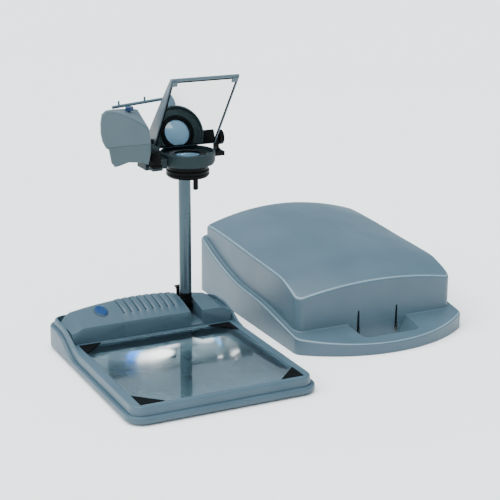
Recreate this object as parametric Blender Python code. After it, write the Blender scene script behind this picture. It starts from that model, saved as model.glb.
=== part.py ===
"""A portable overhead projector that stands beside its lift-off carrying cover.

Lengths are metres. Everything is laid out from the point on the table below the middle of the
stage glass's front edge: X to the right, Y to the back, Z up. Two empties then move the projector
and the cover so that the origin lies under the middle of the pair.
"""
import bmesh
import bpy
from math import asin, cos, pi, radians, sin, sqrt
from mathutils import Vector

# Clearances that every fit uses
SEAT_GAP = 0.0003
RUNNING_GAP = 0.0005
CUT_OVERRUN = 0.004
SMALL_EDGE = 0.001
CORNER_STEPS = 5
ARC_STEPS = 12
SHORT_ARC_STEPS = 8
SHARP_ABOVE = radians(32)
ROUND_TURN_SHARE = 0.75
FINE_SIDES = 44
ROUND_SIDES = 26
SMALL_SIDES = 14

# Stage: the A4 glass, the mirrored Fresnel plate below it and the black corner clips
GLASS_WIDTH = 0.285
GLASS_DEPTH = 0.285
GLASS_THICKNESS = 0.0038
GLASS_SINK = 0.0006
GLASS_LEDGE = 0.004
LEDGE_THICKNESS = 0.003
CLIP_LEG = 0.041
CLIP_THICKNESS = 0.0008
FRESNEL_THICKNESS = 0.003
FRESNEL_MARGIN = 0.002

# Base: a tray with a flange, and the top case that stands in it
BASE_FRONT_MARGIN = 0.018
BASE_SIDE_MARGIN = 0.0235
BASE_WIDTH = GLASS_WIDTH + 2 * BASE_SIDE_MARGIN
BASE_CORNER_RADIUS = 0.030
TRAY_FLOOR = 0.003
FLANGE_TOP = 0.015
FLANGE_WIDTH = 0.0065
FLANGE_ROUND = 0.003
TRAY_WALL = 0.011
TRAY_LEDGE_DROP = 0.002
CASE_TOP = 0.0302
CASE_WALL = 0.003
CASE_EDGE_ROUND = 0.0025
REAR_RISE = 0.024
FLANGE_REAR_RISE = 0.029
RISE_START_SHARE = 0.65
RISE_END_SHARE = 0.86
SIDE_STATION_SHARES = (0.15, 0.4, 0.66, 0.72, 0.76, 0.80, 0.86)
FOOT_HEIGHT = 0.003
FOOT_RADIUS = 0.010
FOOT_SIDES = 20
FOOT_INSET = 0.040

# Rear housing: three moulded shells side by side behind the stage
HOUSING_FRONT_GAP = 0.0065
HOUSING_SIDE_MARGIN = 0.0156
HOUSING_BACK_MARGIN = 0.0156
HOUSING_DEPTH = 0.0879
HOUSING_FRONT = GLASS_DEPTH + HOUSING_FRONT_GAP
HOUSING_BACK = HOUSING_FRONT + HOUSING_DEPTH
BASE_BACK = HOUSING_BACK + HOUSING_BACK_MARGIN
BASE_DEPTH = BASE_BACK + BASE_FRONT_MARGIN
HOUSING_SIDE = BASE_WIDTH / 2 - HOUSING_SIDE_MARGIN
HOUSING_FRONT_HEIGHT = 0.057
HOUSING_END_HEIGHT = 0.050
HOUSING_WALL = 0.0025
HOUSING_FRONT_ROUND = 0.005
HOUSING_BACK_ROUND = 0.014
HOUSING_END_SLOPE = 0.022
CREST_HEIGHT = 0.0755
CREST_SIDE_DROP = 0.0165
CREST_DEPTH_SHARE = 0.84
SWITCH_HOUSING_WIDTH = 0.0954
SWITCH_SEAM_X = SWITCH_HOUSING_WIDTH - HOUSING_SIDE
SECTION_POINTS = 7
HOUSING_BACK_SHARES = (0.4, 0.75, 1.0)

# Ribbed vent cover
RIB_COUNT = 8
RIB_PITCH = 0.0138
FIRST_RIB_INSET = 0.0085
FIRST_RIB_X = SWITCH_SEAM_X + FIRST_RIB_INSET
RIB_HEIGHT = 0.0022
RIB_STEPS = 4
RIB_FRONT = 0.026
RIB_FADE = 0.012
VENT_SLOT_WIDTH = 0.0016
VENT_KEYHOLE_RADIUS = 0.0016
VENT_SLOT_LENGTH = 0.050

# Power button, its switch, the inlet and the transformer
BUTTON_INSET = 0.0684
BUTTON_X = BUTTON_INSET - HOUSING_SIDE
BUTTON_BACK = 0.046
BUTTON_WIDTH = 0.021
BUTTON_LENGTH = 0.036
BUTTON_PROUD = 0.0022
BUTTON_STEM_WIDTH = 0.006
BUTTON_PLATE = 0.004
BEZEL_WIDTH = 0.0016
BEZEL_PROUD = 0.0008
BUTTON_TILT = radians(8.0)
BUTTON_STROKE = 0.003
SWITCH_WIDTH = 0.018
SWITCH_DEPTH = 0.026
SWITCH_HEIGHT = 0.014
INLET_WIDTH = 0.028
INLET_HEIGHT = 0.020
INLET_DEPTH = 0.024
INLET_FLANGE = 0.0025
INLET_FLANGE_LIP = 0.003
INLET_INSET = 0.0454
INLET_X = INLET_INSET - HOUSING_SIDE
INLET_NOTCH_MARGIN = 0.006
INLET_SOCKET_DEPTH = 0.016
INLET_SOCKET_WALL = 0.0025
INLET_PIN_WIDTH = 0.002
INLET_PIN_HEIGHT = 0.004
INLET_PIN_LENGTH = 0.012
INLET_PIN_PITCH = 0.007
CORE_WIDTH = 0.062
CORE_DEPTH = 0.050
CORE_HEIGHT = 0.026
COIL_WIDTH = 0.038
COIL_OVERHANG = 0.008
COIL_HEIGHT = 0.022
TRANSFORMER_INSET = 0.059
TRANSFORMER_X = SWITCH_SEAM_X + TRANSFORMER_INSET

# Post slot, pivot and tube
POST_INSET = 0.0679
POST_SETBACK = 0.0505
POST_X = HOUSING_SIDE - POST_INSET
POST_Y = HOUSING_FRONT + POST_SETBACK
POST_RADIUS = 0.011
POST_WALL = 0.0015
POST_TOP = 0.352
SLOT_WALL = 0.0022
SLOT_FLOOR = 0.0375
SLOT_RAMP = 0.010
POD_WIDTH = 0.033
PIVOT_Z = 0.058
PIVOT_LINK_WIDTH = 0.016
PIVOT_LINK_RADIUS = 0.0115
LINK_TAPER_SHARE = 0.92
LINK_SHOULDER_SHARE = 0.8
PIVOT_PIN_RADIUS = 0.004
COLLAR_BOTTOM = 0.072
COLLAR_TOP = 0.079
PLUG_LENGTH = 0.016
RELEASE_SETBACK = 0.025
RELEASE_Y = POST_Y + RELEASE_SETBACK
RELEASE_Z = 0.046
RELEASE_WIDTH = 0.015
RELEASE_THICKNESS = 0.004
RELEASE_HEIGHT = 0.036
RELEASE_TAB = 0.010
RELEASE_BOSS_RADIUS = 0.0045
RELEASE_PIN_RADIUS = 0.002

# Lens head: ring, barrel, lenses and focus ring
LENS_X = 0.002
LENS_Y = GLASS_DEPTH / 2
RING_RADIUS = 0.0444
RING_BOTTOM = 0.366
RING_TOP = 0.3885
RING_RIM = 0.003
RING_RECESS = 0.0065
RING_FOOT_RADIUS = 0.036
RING_FOOT_ROUND = 0.007
BARREL_RADIUS = 0.029
BARREL_BOTTOM = 0.350
BARREL_TOP = 0.384
BARREL_LIP = 0.003
LENS_RADIUS = 0.0215
LENS_SEAT = 0.003
LENS_EDGE = 0.003
LENS_CROWN = 0.0022
LENS_RINGS = 4
FOCUS_NECK_RADIUS = 0.033
FOCUS_RADIUS = 0.0350
FOCUS_NECK_HEIGHT = 0.006
FOCUS_HEIGHT = 0.0125
FOCUS_CHAMFER = 0.0030
FOCUS_GROOVE = 0.0012
PEG_RADIUS = 0.0042
PEG_LENGTH = 0.016
PEG_OFFSET = 0.031

# Arm from the post's top to the lens ring
ARM_WIDTH = 0.030
ARM_HEIGHT = 0.022
ARM_END_HEIGHT = 0.0165
ARM_CAP_WALL = 0.004
ARM_CAP_DEPTH = 0.030
ARM_TOP = 0.386

# Bridge between the lens ring and the lamp housing, with the ribbed adjusting knob
BRIDGE_DEPTH = 0.036
BRIDGE_HEIGHT = 0.015
BRIDGE_OFFSET_Y = 0.0005
BRIDGE_Y = LENS_Y - BRIDGE_OFFSET_Y
BRIDGE_POST_HEIGHT = 0.036
ADJUST_REACH = 0.0685
ADJUST_FORWARD = 0.0325
ADJUST_X = LENS_X - ADJUST_REACH
ADJUST_Y = LENS_Y - ADJUST_FORWARD
ADJUST_RADIUS = 0.0082
ADJUST_BOTTOM = 0.3745
ADJUST_HEIGHT = 0.0245
ADJUST_RIBS = 14
ADJUST_RIB_DEPTH = 0.0009
ADJUST_FOOT_RADIUS = 0.0098
ADJUST_FOOT_HEIGHT = 0.003
ADJUST_SHELF = 0.004
ADJUST_SPINDLE_RADIUS = 0.003
ADJUST_SPINDLE_HEIGHT = 0.016

# Lamp housing
LAMP_REACH = 0.080
LAMP_RIGHT = LENS_X - LAMP_REACH
LAMP_WIDTH = 0.083
LAMP_BOTTOM = 0.382
LAMP_HEIGHT = 0.091
LAMP_FORWARD = 0.0455
LAMP_FRONT = LENS_Y - LAMP_FORWARD
LAMP_DEPTH = 0.093
LAMP_WALL = 0.0025
LAMP_EDGE_ROUND = 0.004
LAMP_SEAM_SHARE = 0.374
LAMP_OUTLINE_SHARES = (
    (1.00, 0.43), (1.00, 0.20), (0.95, 0.00), (0.855, 0.045), (0.55, 0.075), (0.385, 0.035),
    (0.27, 0.02), (0.20, 0.10), (0.155, 0.33), (0.095, 0.365), (0.03, 0.48), (0.0, 0.62),
    (0.0, 0.80), (0.03, 0.95), (0.10, 1.00), (0.24, 0.985), (0.40, 0.945), (0.55, 0.88),
    (0.70, 0.80), (0.85, 0.71), (0.965, 0.62),
)
LAMP_BACK_TOP_SHARES = (
    (0.10, 1.00), (0.24, 0.995), (0.40, 0.985), (0.55, 0.975), (0.70, 0.965), (0.85, 0.95),
    (0.965, 0.90),
)
LAMP_DEPTH_SHARES = (
    (0.0, 1.0), (0.012, 1 / 3), (0.04, 0.0), (0.5, 0.0), (0.96, 0.0), (0.988, 1 / 3), (1.0, 1.0),
)
LAMP_CROWN_SHARE = 0.6
WINDOW_RADIUS = 0.021
WINDOW_X_SHARE = 0.62
WINDOW_Y_SHARE = 0.50
WINDOW_THICKNESS = 0.004
WINDOW_COLLAR = 0.003
REFLECTOR_DEPTH = 0.020
REFLECTOR_WALL = 0.0012
REFLECTOR_CURVE = 1.8
REFLECTOR_NECK_RADIUS = 0.0062
BULB_RADIUS = 0.0048
BULB_LENGTH = 0.022
BULB_TIP_LIFT = 0.0036
BULB_TIP_ROUND = 0.00072
BULB_SHOULDER_LIFT = 0.006
BULB_TIP_SHARE = 0.6
SOCKET_RADIUS = 0.010
SOCKET_HEIGHT = 0.012
RAIL_START_SHARE = 0.3
RAIL_LENGTH = 0.088
RAIL_RADIUS = 0.0026
RAIL_Y_INSET = 0.006
RAIL_PEG_HEIGHT = 0.0075
RAIL_PEG_RADIUS = 0.0016
RAIL_PEG_SHARES = (0.13, 0.64)
CHANGER_RADIUS = 0.0065
CHANGER_HEIGHT = 0.006
CHANGER_X_SHARE = 0.86
CHANGER_Y_SHARE = 0.66
CHANGER_GRIP = 0.003
CHANGER_SHAFT_RADIUS = 0.002

# Projection mirror, its hood, hinge and clamp knob
MIRROR_TILT = radians(57.0)
MIRROR_AXIS_BACK = 0.0295
MIRROR_AXIS_RISE = 0.0104
MIRROR_AXIS_Y = LENS_Y + MIRROR_AXIS_BACK
MIRROR_AXIS_Z = RING_TOP + MIRROR_AXIS_RISE
MIRROR_OFFSET = 0.0088
MIRROR_BELOW_AXIS = 0.0048
MIRROR_LENGTH = 0.1448
MIRROR_LEFT_REACH = 0.047
MIRROR_RIGHT_REACH = 0.064
MIRROR_LEFT = LENS_X - MIRROR_LEFT_REACH
MIRROR_RIGHT = LENS_X + MIRROR_RIGHT_REACH
MIRROR_FOOT_NARROWING = 0.006
MIRROR_THICKNESS = 0.003
HOOD_TOP_DEPTH = 0.0055
HOOD_FOOT_DEPTH = 0.029
HOOD_BELLY_DEPTH = 0.017
HOOD_BELLY_SHARE = 0.58
HOOD_HEEL_SHARE = 0.2
HOOD_LIP = 0.002
HOOD_WALL = 0.0025
HOOD_ROUND = 0.0015
MIRROR_CLIP = 0.009
MIRROR_CLIP_THICKNESS = 0.0012
MIRROR_PIN_RADIUS = 0.003
EAR_THICKNESS = 0.0045
EAR_RADIUS = 0.007
EAR_STEPS = 10
MIRROR_KNOB_RADIUS = 0.012
MIRROR_KNOB_WIDTH = 0.0075
MIRROR_KNOB_RIBS = 18
MIRROR_KNOB_RIB_DEPTH = 0.0006

# Carrying cover
COVER_GAP = 0.045
COVER_SETBACK = 0.110
COVER_WIDTH = 0.346
COVER_DEPTH = 0.488
COVER_CORNER_RADIUS = 0.028
COVER_BOW = 0.063
COVER_WALL = 0.0035
BAND_FRONT_HEIGHT = 0.020
BAND_RISE = 0.088
BAND_RISE_SHARES = (
    (0.0, 0.0), (0.17, 0.136), (0.264, 0.227), (0.43, 0.375), (0.607, 0.443), (0.70, 0.53),
    (0.79, 0.66), (0.87, 0.80), (0.945, 0.966), (1.0, 1.0),
)
BAND_EDGE_ROUND = 0.003
DOME_INSET = 0.011
DOME_SETBACK = 0.083
DOME_BACK_INSET = 0.013
DOME_CORNER_RADIUS = 0.016
DOME_EDGE_HEIGHT = 0.133
DOME_EDGE_SHARES = (
    (0.0, 0.69), (0.02, 0.71), (0.065, 0.775), (0.10, 0.812), (0.165, 0.87), (0.27, 0.895),
    (0.48, 0.932), (0.71, 0.977), (0.94, 1.0), (1.0, 0.965),
)
DOME_CROWN_FRONT = 0.017
DOME_CROWN_BACK = 0.029
DOME_EDGE_ROUND = 0.004
DOME_RING_SHARES = (0.93, 0.80, 0.62, 0.42, 0.2)
DOME_FOOT_FILLET = 0.0025
GRIP_TOP_WIDTH = 0.140
GRIP_FOOT_WIDTH = 0.090
GRIP_BAR = 0.028
GRIP_OFFSET_X = 0.004
GRIP_CORNER = 0.012
LATCH_SLOT_X = (-0.036, 0.044)
LATCH_SLOT_TOP = 0.055
LATCH_SLOT_TOP_WIDTH = 0.0022
LATCH_SLOT_FOOT_WIDTH = 0.0065
LATCH_SLOT_FOOT = 0.004

# Places worked out from the sizes above
COVER_X = BASE_WIDTH / 2 + COVER_GAP + COVER_WIDTH / 2
COVER_FRONT = COVER_SETBACK - BASE_FRONT_MARGIN
COVER_BACK = COVER_FRONT + COVER_DEPTH
PAIR_X = (COVER_X + COVER_WIDTH / 2 - BASE_WIDTH / 2) / 2
PAIR_Y = (COVER_BACK - BASE_FRONT_MARGIN) / 2
HOUSING_FOOT = CASE_TOP + SEAT_GAP
SLOT_WIDTH = 2 * (POST_RADIUS + RUNNING_GAP)
SLOT_LEFT = POST_X - SLOT_WIDTH / 2
SLOT_RIGHT = POST_X + SLOT_WIDTH / 2
VENT_SEAM_X = SLOT_LEFT - SLOT_WALL
GLASS_TOP = CASE_TOP - GLASS_SINK
GLASS_BOTTOM = GLASS_TOP - GLASS_THICKNESS
LAMP_LEFT = LAMP_RIGHT - LAMP_WIDTH
LAMP_BACK = LAMP_FRONT + LAMP_DEPTH
LAMP_SEAM = LAMP_BOTTOM + LAMP_HEIGHT * LAMP_SEAM_SHARE


# Shapes that the pieces share


def clear_scene():
    for thing in list(bpy.data.objects):
        bpy.data.objects.remove(thing)


def make_material(name, colour, roughness, metallic=0.0):
    material = bpy.data.materials.new(name)
    material.use_nodes = True
    shader = material.node_tree.nodes["Principled BSDF"]
    shader.inputs["Base Color"].default_value = (*colour, 1.0)
    shader.inputs["Roughness"].default_value = roughness
    shader.inputs["Metallic"].default_value = metallic
    return material


def add_empty(name, at, parent=None):
    """An empty at a stage place, which carries what turns or slides about it."""
    empty = bpy.data.objects.new(name, None)
    bpy.context.collection.objects.link(empty)
    empty["place"] = at
    empty.parent = parent
    start = Vector(parent["place"]) if parent else Vector((0, 0, 0))
    empty.location = Vector(at) - start
    return empty


def add_part(name, mesh, material, parent):
    """A named piece whose mesh is laid out in stage coordinates."""
    data = bpy.data.meshes.new(name)
    bmesh.ops.recalc_face_normals(mesh, faces=mesh.faces)
    mesh.to_mesh(data)
    mesh.free()
    if material:
        data.materials.append(material)
    data.shade_smooth()
    data.set_sharp_from_angle(angle=SHARP_ABOVE)
    part = bpy.data.objects.new(name, data)
    bpy.context.collection.objects.link(part)
    part.parent = parent
    part.location = -Vector(parent["place"])
    return part


def shape_with(part, mesh, operation):
    """Cut a mesh from a part, or join it on, with a hidden tool object."""
    tool = add_part(part.name + "_tool", mesh, None, part.parent)
    tool.hide_render = True
    tool.display_type = "WIRE"
    change = part.modifiers.new(operation.lower(), "BOOLEAN")
    change.operation = operation
    change.solver = "EXACT"
    change.object = tool


def cut(part, mesh):
    shape_with(part, mesh, "DIFFERENCE")


def join(part, mesh):
    shape_with(part, mesh, "UNION")


def loft(rings, looped=False):
    """Skin a row of rings with the same number of points; a looped row closes on itself."""
    mesh = bmesh.new()
    rows = [[mesh.verts.new(point) for point in ring] for ring in rings]
    pairs = list(zip(rows, rows[1:]))
    if looped:
        pairs.append((rows[-1], rows[0]))
    for low, high in pairs:
        for i in range(len(low)):
            j = (i + 1) % len(low)
            mesh.faces.new((low[i], low[j], high[j], high[i]))
    if not looped:
        mesh.faces.new(rows[0][::-1])
        mesh.faces.new(rows[-1])
    return mesh


def turn(profile, centre, axis="z", sides=ROUND_SIDES, looped=False):
    """Turn (radius, height) pairs about an axis through a centre; a radius of 0 ends on the axis."""
    mesh = bmesh.new()
    rows = []
    for radius, height in profile:
        count = sides if radius > 0 else 1
        row = []
        for k in range(count):
            across = radius * cos(2 * pi * k / sides)
            along = radius * sin(2 * pi * k / sides)
            local = {"z": (across, along, height), "x": (height, across, along), "y": (along, height, across)}
            row.append(mesh.verts.new(Vector(centre) + Vector(local[axis])))
        rows.append(row)
    pairs = list(zip(rows, rows[1:]))
    if looped:
        pairs.append((rows[-1], rows[0]))
    for low, high in pairs:
        for k in range(sides):
            j = (k + 1) % sides
            if len(low) == 1:
                mesh.faces.new((low[0], high[j], high[k]))
            elif len(high) == 1:
                mesh.faces.new((low[k], low[j], high[0]))
            else:
                mesh.faces.new((low[k], low[j], high[j], high[k]))
    if not looped:
        for row in (rows[0], rows[-1]):
            if len(row) > 1:
                mesh.faces.new(row)
    return mesh


def rod(centre, radius, start, end, axis="z", sides=ROUND_SIDES, edge=0.0):
    """A round bar between two heights along an axis, with edges chamfered by edge."""
    profile = [(radius - edge, start), (radius, start + edge), (radius, end - edge), (radius - edge, end)]
    if not edge:
        profile = [(radius, start), (radius, end)]
    return turn(profile, centre, axis, sides)


def block(low, high, edge=0.0):
    """A box between two corners, with its edges chamfered by edge."""
    mesh = bmesh.new()
    bmesh.ops.create_cube(mesh, size=1)
    for vertex in mesh.verts:
        share = vertex.co + Vector((0.5, 0.5, 0.5))
        vertex.co = [a + (b - a) * s for a, b, s in zip(low, high, share)]
    if edge:
        bmesh.ops.bevel(mesh, geom=mesh.edges[:], offset=edge, segments=2, affect="EDGES", profile=0.5)
    return mesh


def merge(*meshes):
    """Put several closed shapes that don't touch into one cutter."""
    whole = bmesh.new()
    for mesh in meshes:
        data = bpy.data.meshes.new("piece")
        mesh.to_mesh(data)
        mesh.free()
        whole.from_mesh(data)
        bpy.data.meshes.remove(data)
    return whole


def prism(outline, start, end, axis):
    """Push a flat outline along an axis. Outline pairs are the other two coordinates in order."""
    place = {"x": lambda p, t: (t, p[0], p[1]), "y": lambda p, t: (p[0], t, p[1]), "z": lambda p, t: (*p, t)}
    return loft([[place[axis](point, t) for point in outline] for t in (start, end)])


def arc(centre, radius, start, end, steps):
    """Points on an arc, angles in degrees."""
    turns = [radians(start + (end - start) * k / steps) for k in range(steps + 1)]
    return [(centre[0] + radius * cos(a), centre[1] + radius * sin(a)) for a in turns]


def side_points(x, low, high, upward):
    stations = [low + (high - low) * share for share in SIDE_STATION_SHARES]
    return [(x, y) for y in (stations if upward else stations[::-1])]


def rounded_rectangle(left, right, front, back, radius):
    """An outline with extra points along its two sides, where a wall may rise to the back."""
    points = arc((right - radius, front + radius), radius, -90, 0, CORNER_STEPS)
    points += side_points(right, front, back, True)
    points += arc((right - radius, back - radius), radius, 0, 90, CORNER_STEPS)
    points += arc((left + radius, back - radius), radius, 90, 180, CORNER_STEPS)
    points += side_points(left, front, back, False)
    points += arc((left + radius, front + radius), radius, 180, 270, CORNER_STEPS)
    return points


def from_shares(shares, at):
    """Read a table of (place, value) shares at a place, with straight stretches between rows."""
    for (a, first), (b, second) in zip(shares, shares[1:]):
        if at <= b:
            return first + (second - first) * max(0.0, (at - a) / (b - a))
    return shares[-1][1]


def smooth_step(value):
    value = min(1.0, max(0.0, value))
    return value * value * (3 - 2 * value)


# Materials


def body_grey():
    return make_material("body_grey", (0.215, 0.300, 0.352), 0.42)


def black_plastic():
    return make_material("black_plastic", (0.012, 0.014, 0.015), 0.38)


def button_blue():
    return make_material("button_blue", (0.004, 0.045, 0.150), 0.25)


def clear_glass():
    return make_material("clear_glass", (0.62, 0.70, 0.74), 0.05)


def mirror_coat():
    return make_material("mirror_coat", (0.90, 0.90, 0.88), 0.03, 1.0)


def steel():
    return make_material("steel", (0.55, 0.56, 0.57), 0.35, 1.0)


def copper():
    return make_material("copper", (0.50, 0.20, 0.08), 0.40, 1.0)


def foot_rubber():
    return make_material("foot_rubber", (0.015, 0.015, 0.016), 0.80)


# Base and stage


def base_rise(y):
    """How far the walls have risen towards the back at a depth, from 0 to 1."""
    share = (y + BASE_FRONT_MARGIN) / BASE_DEPTH
    return smooth_step((share - RISE_START_SHARE) / (RISE_END_SHARE - RISE_START_SHARE))


def base_ring(inset, height, rise):
    """The base's outline drawn in by an inset, at a height that climbs by rise at the back."""
    half = BASE_WIDTH / 2 - inset
    outline = rounded_rectangle(
        -half, half, inset - BASE_FRONT_MARGIN, BASE_BACK - inset, BASE_CORNER_RADIUS - inset)
    return [(x, y, height + rise * base_rise(y)) for x, y in outline]


def stage_ring(margin, height):
    """The stage opening's outline, margin outside the glass, at one height."""
    half = GLASS_WIDTH / 2 + margin
    corner = RUNNING_GAP
    return [(x, y, height) for x, y in rounded_rectangle(-half, half, -margin, GLASS_DEPTH + margin, corner)]


def inlet_notch():
    """The opening through the raised back walls, where a plug reaches the inlet."""
    half = INLET_WIDTH / 2 + INLET_NOTCH_MARGIN
    top = CASE_TOP + FLANGE_REAR_RISE + CUT_OVERRUN
    low = (INLET_X - half, HOUSING_BACK + SEAT_GAP, CASE_TOP + SEAT_GAP / 2)
    return block(low, (INLET_X + half, BASE_BACK + CUT_OVERRUN, top))


def add_base_tray(parent, grey):
    floor = FOOT_HEIGHT + TRAY_FLOOR
    ledge = FLANGE_TOP - TRAY_LEDGE_DROP
    rings = [
        base_ring(FLANGE_ROUND, FOOT_HEIGHT, 0),
        base_ring(0, FOOT_HEIGHT + FLANGE_ROUND, 0),
        base_ring(0, FLANGE_TOP - FLANGE_ROUND, FLANGE_REAR_RISE),
        base_ring(FLANGE_ROUND / 3, FLANGE_TOP - FLANGE_ROUND / 3, FLANGE_REAR_RISE),
        base_ring(FLANGE_ROUND, FLANGE_TOP, FLANGE_REAR_RISE),
        base_ring(FLANGE_WIDTH, FLANGE_TOP, FLANGE_REAR_RISE),
        base_ring(FLANGE_WIDTH, ledge, FLANGE_REAR_RISE),
        base_ring(TRAY_WALL, ledge, FLANGE_REAR_RISE),
        base_ring(TRAY_WALL, floor, 0),
    ]
    cut(add_part("base_tray", loft(rings), grey, parent), inlet_notch())


def add_top_case(parent, grey):
    foot = FLANGE_TOP - TRAY_LEDGE_DROP + 2 * SEAT_GAP
    outside = FLANGE_WIDTH + RUNNING_GAP
    top_outer = TRAY_WALL + RUNNING_GAP
    top_inner = top_outer + CASE_WALL
    ledge = GLASS_BOTTOM - SEAT_GAP
    underside = ledge - LEDGE_THICKNESS
    shoulder = CASE_TOP - CASE_EDGE_ROUND
    rings = [
        base_ring(outside, foot, FLANGE_REAR_RISE),
        base_ring(outside, FLANGE_TOP, FLANGE_REAR_RISE),
        base_ring(outside + CASE_EDGE_ROUND / 2, shoulder, REAR_RISE),
        base_ring(outside + CASE_EDGE_ROUND, CASE_TOP - CASE_EDGE_ROUND / 4, REAR_RISE),
        base_ring(top_outer, CASE_TOP, REAR_RISE),
        base_ring(top_inner - CASE_WALL / 3, CASE_TOP, REAR_RISE),
        base_ring(top_inner, CASE_TOP, 0),
        stage_ring(RUNNING_GAP, CASE_TOP),
        stage_ring(RUNNING_GAP, ledge),
        stage_ring(-GLASS_LEDGE, ledge),
        stage_ring(-GLASS_LEDGE, underside),
        base_ring(top_inner - CASE_WALL / 3, underside, 0),
        base_ring(TRAY_WALL + RUNNING_GAP, foot, FLANGE_REAR_RISE),
        base_ring(TRAY_WALL - RUNNING_GAP, foot, FLANGE_REAR_RISE),
    ]
    cut(add_part("top_case", loft(rings, looped=True), grey, parent), inlet_notch())


def add_stage(parent, glass, mirror, black):
    half = GLASS_WIDTH / 2
    low = (-half, 0, GLASS_BOTTOM)
    high = (half, GLASS_DEPTH, GLASS_TOP)
    add_part("stage_glass", block(low, high), glass, parent)
    plate_half = half - FRESNEL_MARGIN
    plate_floor = FOOT_HEIGHT + TRAY_FLOOR + SEAT_GAP
    low = (-plate_half, FRESNEL_MARGIN, plate_floor)
    high = (plate_half, GLASS_DEPTH - FRESNEL_MARGIN, plate_floor + FRESNEL_THICKNESS)
    add_part("fresnel_mirror", block(low, high), mirror, parent)
    corners = {"front_left": (-1, 0), "front_right": (1, 0), "back_left": (-1, 1), "back_right": (1, 1)}
    floor = GLASS_TOP + SEAT_GAP
    for name, (side, back) in corners.items():
        x = side * half
        y = back * GLASS_DEPTH
        inward = CLIP_LEG if back == 0 else -CLIP_LEG
        outline = [(x, y), (x - side * CLIP_LEG, y), (x, y + inward)]
        add_part("glass_clip_" + name, prism(outline, floor, floor + CLIP_THICKNESS, "z"), black, parent)


def add_feet(parent, rubber):
    across = BASE_WIDTH / 2 - FOOT_INSET
    rows = {"front": FOOT_INSET - BASE_FRONT_MARGIN, "back": BASE_BACK - FOOT_INSET}
    for row, y in rows.items():
        for side, x in {"left": -across, "right": across}.items():
            mesh = rod((x, y, 0), FOOT_RADIUS, 0, FOOT_HEIGHT - SEAT_GAP, sides=FOOT_SIDES, edge=SMALL_EDGE)
            add_part("foot_" + row + "_" + side, mesh, rubber, parent)


# Rear housing


def crest_height(x):
    """Height of the housing's arched back line at a place across it."""
    return CREST_HEIGHT - CREST_SIDE_DROP * (x / HOUSING_SIDE) ** 2


def end_share(x):
    """1 over the housing's length, falling to 0 down its sloped ends."""
    return smooth_step((HOUSING_SIDE - abs(x)) / HOUSING_END_SLOPE)


def housing_top(x, y):
    """Height of the housing's skin, from its front edge over the crest."""
    share = (y - HOUSING_FRONT) / (HOUSING_DEPTH * CREST_DEPTH_SHARE)
    full = HOUSING_FRONT_HEIGHT + (crest_height(x) - HOUSING_FRONT_HEIGHT) * sin(min(1.0, share) * pi / 2)
    return HOUSING_END_HEIGHT + (full - HOUSING_END_HEIGHT) * end_share(x)


def rib_lift(x, y):
    """How far the ribs of the vent cover stand out at a place."""
    along = (x - FIRST_RIB_X) / RIB_PITCH
    if not 0 <= along <= RIB_COUNT:
        return 0.0
    fade = smooth_step((y - HOUSING_FRONT - RIB_FRONT + RIB_FADE) / RIB_FADE)
    return RIB_HEIGHT * sqrt(abs(sin(pi * along))) * fade


def housing_back(x):
    """The back wall's place, which follows the base's rounded back corners."""
    radius = BASE_CORNER_RADIUS - HOUSING_BACK_MARGIN
    into_corner = min(radius, max(0.0, abs(x) - HOUSING_SIDE + radius))
    return HOUSING_BACK - radius + sqrt(radius * radius - into_corner * into_corner)


def housing_section(x, foot, inset, ribbed=False):
    """One cross-section of the housing in the YZ plane, drawn in by an inset."""
    front = HOUSING_FRONT + inset
    back = housing_back(x) - inset
    crest_y = HOUSING_FRONT + (housing_back(x) - HOUSING_FRONT) * CREST_DEPTH_SHARE
    points = [(front, foot)]
    points.append((front, housing_top(x, HOUSING_FRONT) - HOUSING_FRONT_ROUND - inset))
    for k in range(SECTION_POINTS):
        rise = crest_y - front - HOUSING_FRONT_ROUND / 2
        y = front + HOUSING_FRONT_ROUND / 2 + rise * k / (SECTION_POINTS - 1)
        lift = rib_lift(x, y) if ribbed else 0.0
        points.append((y, housing_top(x, y) - inset + lift))
    lift = rib_lift(x, crest_y) if ribbed else 0.0
    crest = housing_top(x, crest_y) - inset
    for share in HOUSING_BACK_SHARES:
        drop = HOUSING_BACK_ROUND * (1 - sqrt(1 - share * share))
        y = crest_y + (back - crest_y) * share
        points.append((y, crest - drop + lift * (1 - share)))
    points.append((back, foot))
    return [(x, y, z) for y, z in points]


def section_places(left, right):
    """Places across a shell, closer together down the sloped ends."""
    slope = HOUSING_SIDE - HOUSING_END_SLOPE
    marks = [-HOUSING_SIDE + HOUSING_END_SLOPE * k / 4 for k in range(5)]
    marks += [slope * k / 5 for k in range(-4, 5)]
    marks += [slope + HOUSING_END_SLOPE * k / 4 for k in range(5)]
    inside = [x for x in marks if left + HOUSING_WALL < x < right - HOUSING_WALL]
    return [left] + inside + [right]


def housing_shell(name, left, right, material, parent):
    """A moulded shell between two places, open below."""
    places = section_places(left, right)
    part = add_part(name, loft([housing_section(x, HOUSING_FOOT, 0) for x in places]), material, parent)
    inner = section_places(left + HOUSING_WALL, right - HOUSING_WALL)
    below = HOUSING_FOOT - CUT_OVERRUN
    cut(part, loft([housing_section(x, below, HOUSING_WALL) for x in inner]))
    return part


def add_switch_housing(parent, grey):
    part = housing_shell("switch_housing", -HOUSING_SIDE, SWITCH_SEAM_X - SEAT_GAP / 2, grey, parent)
    cut(part, button_outline_solid(BUTTON_WIDTH + 2 * BEZEL_WIDTH, BUTTON_LENGTH + 2 * BEZEL_WIDTH,
                                   -HOUSING_BACK_ROUND, HOUSING_BACK_ROUND))
    inlet_reach = INLET_WIDTH / 2 + SEAT_GAP
    low = (INLET_X - inlet_reach, HOUSING_BACK - HOUSING_WALL - CUT_OVERRUN, HOUSING_FOOT - CUT_OVERRUN)
    inlet_top = inlet_foot() + INLET_HEIGHT + SEAT_GAP
    high = (INLET_X + inlet_reach, HOUSING_BACK + CUT_OVERRUN, inlet_top)
    cut(part, block(low, high))


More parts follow.
